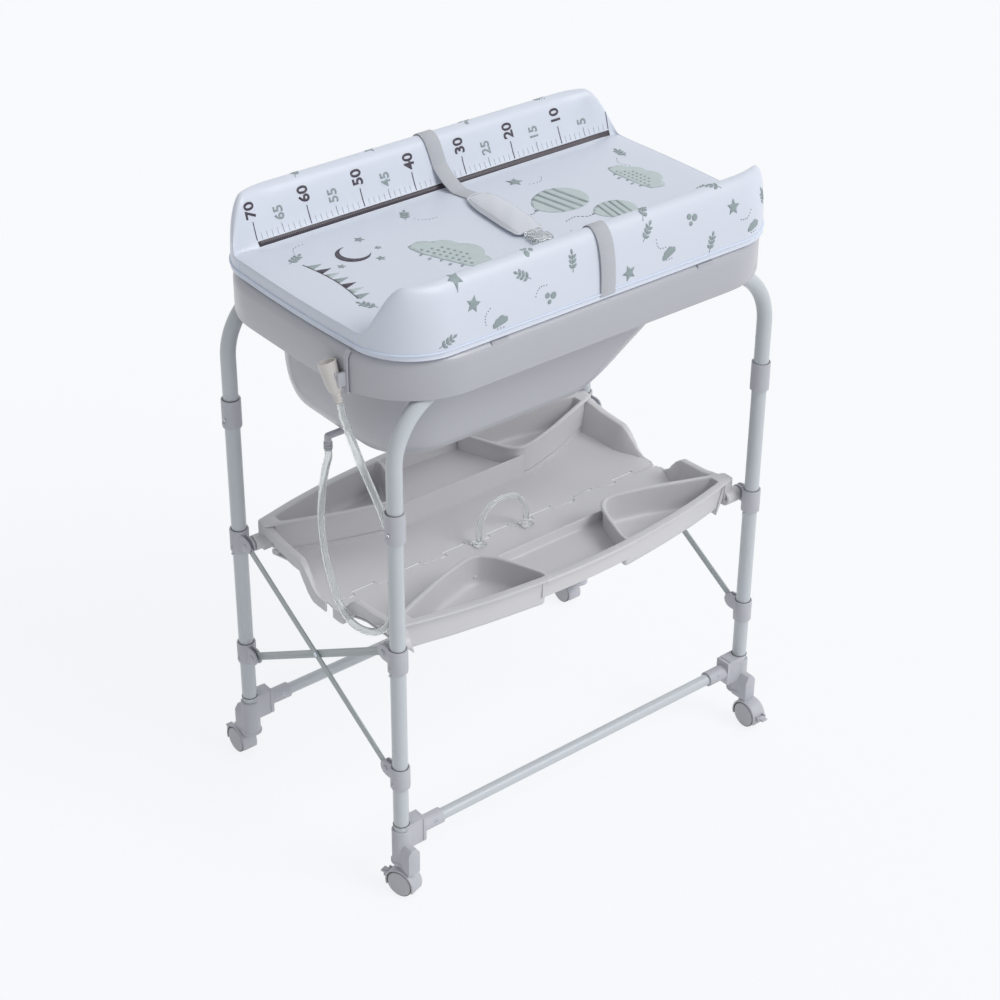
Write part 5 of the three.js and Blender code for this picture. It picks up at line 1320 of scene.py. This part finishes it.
def addBand(s, sx, sy):
    rise = s["rimZ"] - s["floorZ"]
    stations = []
    count = 34
    begin = s["bandStart"] if sy < 0 else 0.03
    rows = s["bandShares"]
    for i in range(count + 1):
        reach = mix(begin, 1, i / count)
        k = max(0, min(len(rows) - 2, sum(1 for r in rows if r[0] <= reach) - 1))
        t = ease((reach - rows[k][0]) / (rows[k + 1][0] - rows[k][0]))
        t = mix(t, min(max((reach - rows[k][0]) / (rows[k + 1][0] - rows[k][0]), 0), 1), 0.55)
        high, low = mix(rows[k][1], rows[k + 1][1], t), mix(rows[k][2], rows[k + 1][2], t)
        height = rise * high
        topZ, lowZ = s["floorZ"] + height, s["floorZ"] + rise * low
        foot = s["bandLip"] * 2 + (s["bandLipSlope"] + s["bandFootSlope"]) * height
        lip = s["bandLip"] + s["bandLipSlope"] * height
        soft = min(1.6, height * 0.2 + 0.3)
        section = [
            (foot, s["floorZ"]), (mix(foot, lip, 0.5), mix(s["floorZ"], topZ, 0.5)), (lip + soft * 0.3, topZ - soft),
            (lip - soft * 0.4, topZ - soft * 0.25), (lip - soft, topZ), (soft, topZ), (soft * 0.3, topZ - soft * 0.3),
            (0, topZ - soft), (0, lowZ + 0.6), (0.6, lowZ), (s["bandWall"] - 0.6, lowZ), (s["bandWall"], lowZ + 0.6),
            (s["bandWall"], topZ - s["bandUnder"]), (foot, s["floorZ"] - s["bandUnder"]),
        ]
        y = sy * reach * s["pivotY"]
        stations.append([(sx * (s["halfLength"] - 0.12 - inset), y, z) for inset, z in section])
    return alongPiece("band", stations)


def platePiece(outline, low, high):
    # the outline is hollow in places, so it is filled with triangles and walled along its rim
    found = delaunay_2d_cdt([Vector(p) for p in outline], [], [list(range(len(outline)))], 1, 1e-6)
    points, tops = found[0], [tuple(face) for face in found[2]]
    count = len(points)
    sides = {(face[i - 1], face[i]) for face in tops for i in range(3)}
    verts = [Vector((p.x, p.y, z)) * mm for z in (low, high) for p in points]
    faces = [(a, b, b + count, a + count) for a, b in sorted(sides) if (b, a) not in sides]
    faces += [face[::-1] for face in tops] + [tuple(k + count for k in face) for face in tops]
    return meshPiece("plate", verts, faces, 30)


def addTrayHalf(s, sy, name, body, nodeName):
    parts = []
    floorLow = s["floorZ"] - s["wall"]
    notch = s["seamGap"] * 2 + s["fingerDepth"]
    half = s["halfLength"]
    rise = s["rimZ"] - s["floorZ"]
    foot = [(p.x, p.y) for p in pocketPlan(s, 0, s["rimWidth"] + s["draft"], s["endRimWidth"])]
    foot = foot[s["innerPoints"][0]:s["innerPoints"][1]]
    endLine = [(half - s["bandLip"], notch)]
    for reach, high, low in s["bandShares"]:
        y = reach * s["pivotY"]
        if notch < y < foot[-1][1]:
            inset = s["bandLip"] * 2 + (s["bandLipSlope"] + s["bandFootSlope"]) * rise * high - s["bandLip"]
            endLine.append((half - inset, y))
    underRiser = [(x, y + 4.5) for x, y in foot][::-1]
    right = endLine + underRiser
    left = [(-x, y) for x, y in right[::-1]]
    count = int(half * 2 // s["fingerPitch"])
    start = -s["fingerPitch"] * count / 2
    seam = []
    for i in range(count):
        if (i % 2 == 0) == (sy > 0):
            x0 = start + i * s["fingerPitch"] + s["fingerSideGap"] / 2
            x1 = x0 + s["fingerPitch"] - s["fingerSideGap"]
            seam += [(x0, notch), (x0, -s["fingerDepth"] + 1), (x0 + 1, -s["fingerDepth"]),
                     (x1 - 1, -s["fingerDepth"]), (x1, -s["fingerDepth"] + 1), (x1, notch)]
            z = floorLow - s["knuckleRadius"] + s["wall"] / 2
            a, b = [Vector((x, sy * (s["seamGap"] + s["fingerDepth"]), z)) * mm for x in (x0 + 6, x1 - 6)]
            parts.append(tubePiece("knuckle", [a, a.lerp(b, 0.5), b], s["knuckleRadius"] * mm, 20))
    outline = [(x, sy * y) for x, y in right + left + seam]
    parts.append(platePiece(outline, floorLow, s["floorZ"]))

    for sx in (-1, 1):
        parts.append(addPocket(s, sx, sy))
        z0, z1 = s["floorZ"] - 1.5, s["bottomZ"] + s["wall"] / 2
        riser = [[(sx * x, sy * y, z0), (sx * x, sy * (y + 6), z0), (sx * x, sy * (y + 6), z1), (sx * x, sy * y, z1)]
                 for x, y in foot]
        parts.append(alongPiece("riser", riser))
        parts.append(addBand(s, sx, sy))
        axis = Vector((sx, 0, 0))
        base = Vector((sx * (half - s["bossWall"]), sy * s["pivotY"], s["pivotZ"])) * mm
        length, radius, bore = s["bossEnd"] - half + s["bossWall"], s["bossRadius"], s["bossBore"]
        profile = [
            (bore, s["wall"]), (radius - 1, 0), (radius, 1), (radius, length - 1.5), (radius - 0.5, length - 0.4),
            (radius - 1.6, length), (bore + 0.8, length), (bore, length - 0.8),
        ]
        parts.append(revolvePiece("boss", profile, base, axis, 36))
        y0, y1 = sy * (s["pivotY"] - s["bossRadius"] + 1.5), sy * (s["pivotY"] + s["wall"])
        x0, x1 = sx * (half - s["bossWall"]), sx * half
        x1 -= sx * 0.2
        parts.append(platePiece(bar(x0, x1, y0, y1), s["pivotZ"] - s["bossRadius"], s["rimZ"] - s["wall"]))

    # low wall of the shelf, its floor, and the outer wall with its flange
    inner, wall, shelfZ, crest, lowWall = s["innerWallY"], s["wall"], s["shelfZ"], s["shelfWallZ"], []
    outside = inner + wall
    section = [
        (inner, s["floorZ"] - 1.5), (inner, crest - 1.4), (inner + 0.5, crest - 0.4), (inner + 1.5, crest),
        (outside - 0.5, crest - 0.4), (outside, crest - 1.4), (outside, shelfZ + 2.4), (outside + 0.7, shelfZ + 0.8),
        (outside + 2.4, shelfZ), (outside + 2.4, shelfZ - wall), (outside, shelfZ - wall), (outside, s["floorZ"] - 1.5),
    ]
    for i in range(13):
        x = mix(-s["cornerRoundX"], s["cornerRoundX"], i / 12)
        lowWall.append([(x, sy * y, z) for y, z in section])
    parts.append(alongPiece("lowWall", lowWall))
    edge = [(p.x, p.y) for p in pocketPlan(s, 1.5, s["rimWidth"] + 1.5, s["endRimWidth"])][:21]
    edge = [(x, y) for x, y in edge if y < trayEdge(s, x) - s["rimWidth"]]
    far = [(x, trayEdge(s, x) - s["rimWidth"] - 1.5) for x in [s["cornerX"] * (1 - i / 10) for i in range(21)]]
    shelf = [(x, sy * y) for x, y in edge[::-1] + far + [(-x, y) for x, y in edge]]
    parts.append(platePiece(shelf, shelfZ - wall, shelfZ))
    outer = []
    for i in range(13):
        x = mix(-s["cornerX"] - s["overlap"], s["cornerX"] + s["overlap"], i / 12)
        e, top = trayEdge(s, x) - 0.05, s["rimZ"] - 0.05
        inFace, outFace, under = e - s["rimWidth"] - wall, e - s["rimWidth"], top - s["lipHeight"]
        section = [
            (inFace, shelfZ + 2), (inFace, top - 2), (inFace + 0.6, top - 0.6), (inFace + 2, top), (e - 1.9, top),
            (e - 0.6, top - 0.6), (e, top - 1.9), (e, under + 0.8), (e - 0.8, under), (outFace + 1, under),
            (outFace, under - 1), (outFace, shelfZ - wall + 1.5), (outFace - 1.5, shelfZ - wall),
            (inFace - 2, shelfZ - wall), (inFace - 2, shelfZ), (inFace - 0.6, shelfZ + 0.6),
        ]
        outer.append([(x, sy * y, z) for y, z in section])
    parts.append(alongPiece("outerWall", outer))
    dress(joinPieces(name, parts, 42), "trayPlastic", body, "tray_plastic", nodeName)


addTrayHalf(tray, -1, "trayFrontHalf", "front_tray", "tray_front_half")
addTrayHalf(tray, 1, "trayRearHalf", "rear_tray", "tray_rear_half")
print("tray ready")

# bent tubes of the upper frames
upperFrame = {
    "legX": 370, "legY": 215, "fromZ": 684.3, "bendZ": 785, "bendRadius": 110, "tube": 12.5, "bore": 11.3,
    "steps": 26,
}


def addUpperFrame(s, sy, name, body, nodeName):
    y, top = sy * s["legY"], s["bendZ"] + s["bendRadius"]
    path = [Vector((-s["legX"], y, mix(s["fromZ"], s["bendZ"], i / 4))) for i in range(4)]
    for i in range(s["steps"] + 1):
        a = i / s["steps"] * pi / 2
        path.append(Vector((-s["legX"] + s["bendRadius"] * (1 - cos(a)), y, s["bendZ"] + s["bendRadius"] * sin(a))))
    for i in range(1, 6):
        path.append(Vector((mix(-s["legX"] + s["bendRadius"], 0, i / 6), y, top)))
    path.append(Vector((0, y, top)))
    path += [Vector((-p.x, p.y, p.z)) for p in path[-2::-1]]
    tube = tubePiece(name, [p * mm for p in path], s["tube"] * mm, 36, s["bore"] * mm)
    dress(tube, "framePaint", body, "frame_paint", nodeName)


addUpperFrame(upperFrame, -1, "bentTubeFront", "front_frame", "front_upper_frame")
addUpperFrame(upperFrame, 1, "bentTubeRear", "rear_frame", "rear_upper_frame")
print("bent tubes ready")

# twin-wheel casters: smooth wheels with a ring of painted shade in the groove round each face, and a round hood
caster = {
    "x": 370, "y": 236, "trail": 13, "wheel": 23.5, "inner": 3, "outer": 13.6, "axle": 3, "hood": 27.3,
    "cavity": 24.3, "half": 14, "cut": 14, "web": 2.5, "neck": 9, "neckTop": 49.7, "stem": 5, "stemTop": 85,
    "cheekInner": 6.4, "cheekOuter": 9, "cheekFrom": 22, "cheekReach": 33, "cheekHeight": 9, "archSteps": 40,
    "webSteps": 24, "headings": {"front_left": 0.31, "front_right": pi, "rear_left": 0, "rear_right": 0},
}


def sidesOf(place):
    return -1 if "left" in place else 1, -1 if "front" in place else 1


def addWheels(s, place, spot, hub):
    r, a, b = s["wheel"], s["inner"], s["outer"]
    tread = [
        (4, a), (r - 2.4, a), (r - 0.8, a + 0.6), (r, a + 2), (r, b - 2.6), (r - 0.2, b - 2.1), (r - 1.7, b - 2.1),
        (r - 1.7, b - 0.5), (r - 2.1, b + 0.1), (r - 2.9, b + 0.35), (r - 9, b + 0.6), (0.2, b + 0.75), (0.2, a),
    ]
    # a dark ring laid in the groove of each face, painted shade of the groove
    ring = [(r - 1.75, b - 2.15), (r - 0.1, b - 2.15), (r - 0.15, b - 1.0), (r - 1.75, b - 0.9)]
    wheels, rings = [], []
    for side in (-1, 1):
        axis = Vector((side, 0, 0))
        wheels.append(revolvePiece("wheel", tread, hub, axis, 56))
        rings.append(revolvePiece("ring", ring, hub, axis, 56))
    axle = [hub + Vector((x * mm, 0, 0)) for x in (-a - 0.5, 0, a + 0.5)]
    wheels.append(tubePiece("axle", axle, s["axle"] * mm, 20))
    pair = joinPieces("wheelPair_" + place, wheels, 40)
    dark = joinPieces("grooveShadeRings_" + place, rings)
    for piece in (pair, dark):
        piece.data.transform(spot)
    dress(pair, "wheelPlastic", "wheels_" + place, "wheel_plastic", "caster_" + place + "_wheels")
    dress(dark, "grooveShadePaint", "wheels_" + place, "wheel_plastic")


def addHood(s, place, spot, hub):
    half, out, cavity, web = s["half"], s["hood"], s["cavity"], s["web"]
    neck, neckTop, stem, stemTop = s["neck"], s["neckTop"], s["stem"], s["stemTop"]
    section = [
        (-half, cavity), (-half, out - 1.3), (-half + 0.5, out - 0.5), (-half + 1.5, out), (half - 1.5, out),
        (half - 0.5, out - 0.5), (half, out - 1.3), (half, cavity), (web, cavity), (-web, cavity),
    ]
    start = -asin((s["wheel"] - s["cut"]) / out)
    arcs = []
    for i in range(s["archSteps"] + 1):
        turn = mix(start, pi - start, i / s["archSteps"])
        arcs.append([hub + Vector((x, q * cos(turn), q * sin(turn))) * mm for x, q in section])
    parts = [loftPiece("arch", arcs, False, 40)]
    turns = [mix(start, pi - start, i / s["webSteps"]) for i in range(s["webSteps"] + 1)]
    rim = [(s["trail"] + (cavity + 1) * cos(turn), s["wheel"] + (cavity + 1) * sin(turn)) for turn in turns]
    parts.append(loftPiece("web", [[Vector((x, y, z)) * mm for y, z in rim] for x in (-web, web)], False, 40))
    top = out + s["wheel"]
    profile = [
        (0.2, s["wheel"] + 16), (neck + 1.5, s["wheel"] + 18), (neck + 0.6, top - 6), (neck, top - 3),
        (neck, neckTop - 1), (neck - 0.8, neckTop), (stem, neckTop), (stem, stemTop - 1), (stem - 1, stemTop),
        (0.2, stemTop),
    ]
    parts.append(revolvePiece("neck", profile, Vector((0, 0, 0)), Vector((0, 0, 1)), 40))
    for side in (-1, 1):
        x0, x1 = sorted((side * s["cheekInner"], side * s["cheekOuter"]))
        y0, y1 = s["trail"] + s["cheekFrom"], s["trail"] + s["cheekReach"]
        parts.append(platePiece(bar(x0, x1, y0, y1), s["wheel"], s["wheel"] + s["cheekHeight"]))
    hood = joinPieces("casterHood_" + place, parts)
    hood.data.transform(spot)
    hood.data.set_sharp_from_angle(angle=radians(40))
    dress(hood, "fittingPlastic", "caster_" + place, "fitting_plastic", "caster_" + place + "_hood")


def addCaster(s, place):
    sx, sy = sidesOf(place)
    spot = Matrix.Translation(Vector((sx * s["x"], sy * s["y"], 0)) * mm)
    spot = spot @ Matrix.Rotation(s["headings"][place], 4, "Z")
    hub = Vector((0, s["trail"], s["wheel"])) * mm
    addWheels(s, place, spot, hub)
    addHood(s, place, spot, hub)


for place in caster["headings"]:
    addCaster(caster, place)
print("casters ready")

# screws, rivets and the fine dark gaps where tubes enter their fittings
fasteners = {
    "sleeve": 13.5, "radius": 2.9, "height": 1.3, "recess": 1.2, "tube": 12.5, "gapOuter": 13.5, "gapHeight": 0.5,
    "collarScrew": 0.8, "sleeveRivet": 1.05,
}


def addScrew(s, name, spot, out, body, size):
    r, h, c = s["radius"] * size, s["height"] * size, s["recess"] * size
    head = [(c, -0.8), (c, h * 0.9), (r * 0.72, h), (r * 0.93, h * 0.62), (r, 0.1), (r, -0.8)]
    core = [(0.1, -0.8), (0.1, h * 0.25), (c * 1.05, h * 0.25), (c * 1.05, -0.8)]
    dress(revolvePiece(name, head, spot * mm, out, 20), "zincSteel", body, "rivet_steel")
    dress(revolvePiece(name + "_slot", core, spot * mm, out, 16), "gapShadow", body, "rivet_steel")


def addGap(s, name, x, y, z, body):
    inner, outer, high = s["tube"] - 0.2, s["gapOuter"], s["gapHeight"]
    ring = [(inner, 0), (outer, 0), (outer - 0.1, high), (inner, high)]
    piece = revolvePiece(name, ring, Vector((x, y, z)) * mm, Vector((0, 0, 1)), 36)
    dress(piece, "gapShadow", body, "fitting_plastic")


def boxOf(name):
    low, high = [Vector(v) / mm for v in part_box(name)]
    return low, high, (low + high) / 2


def addFasteners(s):
    for place in caster["headings"]:
        sx, sy = sidesOf(place)
        row = place.split("_")[0]
        frameBody = row + "_frame"
        low, high, middle = boxOf("joint_collar_" + place)
        side = Vector((sx, -0.25, 0)).normalized()
        spot = Vector((middle.x, middle.y, mix(low.z, high.z, 0.34))) + side * ((high.x - low.x) / 2 - 0.3)
        addScrew(s, "collarScrew_" + place, spot, side, frameBody, s["collarScrew"])
        addGap(s, "collarGap_" + place, middle.x, middle.y, high.z, frameBody)
        low, high, middle = boxOf("rail_sleeve_" + place)
        front = Vector((0, -1, 0.35)).normalized()
        middle.x -= sx * (high.x - low.x) * 0.12
        spot = middle + front * (s["sleeve"] - 0.2)
        addScrew(s, "sleeveRivet_" + place, spot, front, frameBody, s["sleeveRivet"])
        fittings = (("foot_", frameBody), ("lower_bracket_", frameBody), ("sliding_bracket_", row + "_sliders"))
        for kind, body in fittings:
            top = boxOf(kind + place)[1].z
            name = kind.split("_")[0] + "Gap_" + place
            addGap(s, name, sx * upperFrame["legX"], sy * upperFrame["legY"], top, body)


addFasteners(fasteners)
print("screws and rivets ready")

# floor, backdrop and light
stageSettings = {
    "floorColor": (0.93, 0.935, 0.945),
    "paperColor": (0.965, 0.978, 1.0),
    "paperShare": 0.86,
    "worldColor": (0.93, 0.95, 0.98),
    "worldLeft": 0.34,
    "worldRight": 0.86,
    "keyPower": 1.3,
    "keyAngle": 30,
    "keyFrom": (0.9, -1.8, 1.9),
}


def seenRays(tree):
    path = addNode(tree, "ShaderNodeLightPath", -500)
    first = mathNode(tree, -350, "MAXIMUM", path.outputs["Is Camera Ray"], path.outputs["Is Glossy Ray"])
    return mathNode(tree, -200, "MAXIMUM", first, path.outputs["Is Transmission Ray"])


def addFloor(s):
    # seen directly the floor is mostly white paper, and for other rays a plain matt floor
    floor = meshPiece("studioFloor", [(-9, -9, 0), (9, -9, 0), (9, 9, 0), (-9, 9, 0)], [(0, 1, 2, 3)])
    material, tree, shader = newMaterial("studioFloor")
    shader.inputs["Base Color"].default_value = (*s["floorColor"], 1)
    shader.inputs["Roughness"].default_value = 0.9
    paper = addNode(tree, "ShaderNodeEmission", Color=(*s["paperColor"], 1), Strength=1)
    share = mathNode(tree, -100, "MULTIPLY", seenRays(tree), s["paperShare"])
    blend = addNode(tree, "ShaderNodeMixShader")
    wire(tree, (share, blend.inputs["Fac"]), (shader.outputs["BSDF"], blend.inputs[1]),
         (paper.outputs["Emission"], blend.inputs[2]),
         (blend.outputs["Shader"], tree.nodes["Material Output"].inputs["Surface"]))
    floor.data.materials.append(material)


def addLight(s):
    # the backdrop is white to the camera and brighter from the right as a light
    world = bpy.data.worlds.new("studioWorld")
    scene.world = world
    world.use_nodes = True
    tree = world.node_tree
    light = tree.nodes["Background"]
    light.inputs["Color"].default_value = (*s["worldColor"], 1)
    coords = addNode(tree, "ShaderNodeTexCoord", -900)
    split = addNode(tree, "ShaderNodeSeparateXYZ", -750)
    level = addNode(tree, "ShaderNodeMapRange", -600, From_Min=-1, To_Min=s["worldLeft"], To_Max=s["worldRight"])
    white = addNode(tree, "ShaderNodeBackground", Color=(*s["paperColor"], 1))
    choose = addNode(tree, "ShaderNodeMixShader")
    wire(tree, (coords.outputs["Generated"], split.inputs[0]), (split.outputs["X"], level.inputs["Value"]),
         (level.outputs["Result"], light.inputs["Strength"]), (seenRays(tree), choose.inputs["Fac"]),
         (light.outputs["Background"], choose.inputs[1]), (white.outputs["Background"], choose.inputs[2]),
         (choose.outputs["Shader"], tree.nodes["World Output"].inputs["Surface"]))
    sun = bpy.data.lights.new("softKey", "SUN")
    sun.energy = s["keyPower"]
    sun.angle = radians(s["keyAngle"])
    key = bpy.data.objects.new("softKey", sun)
    scene.collection.objects.link(key)
    key.rotation_euler = (-Vector(s["keyFrom"])).to_track_quat("-Z", "Y").to_euler()


addFloor(stageSettings)
addLight(stageSettings)
scene.view_settings.view_transform = "Standard"
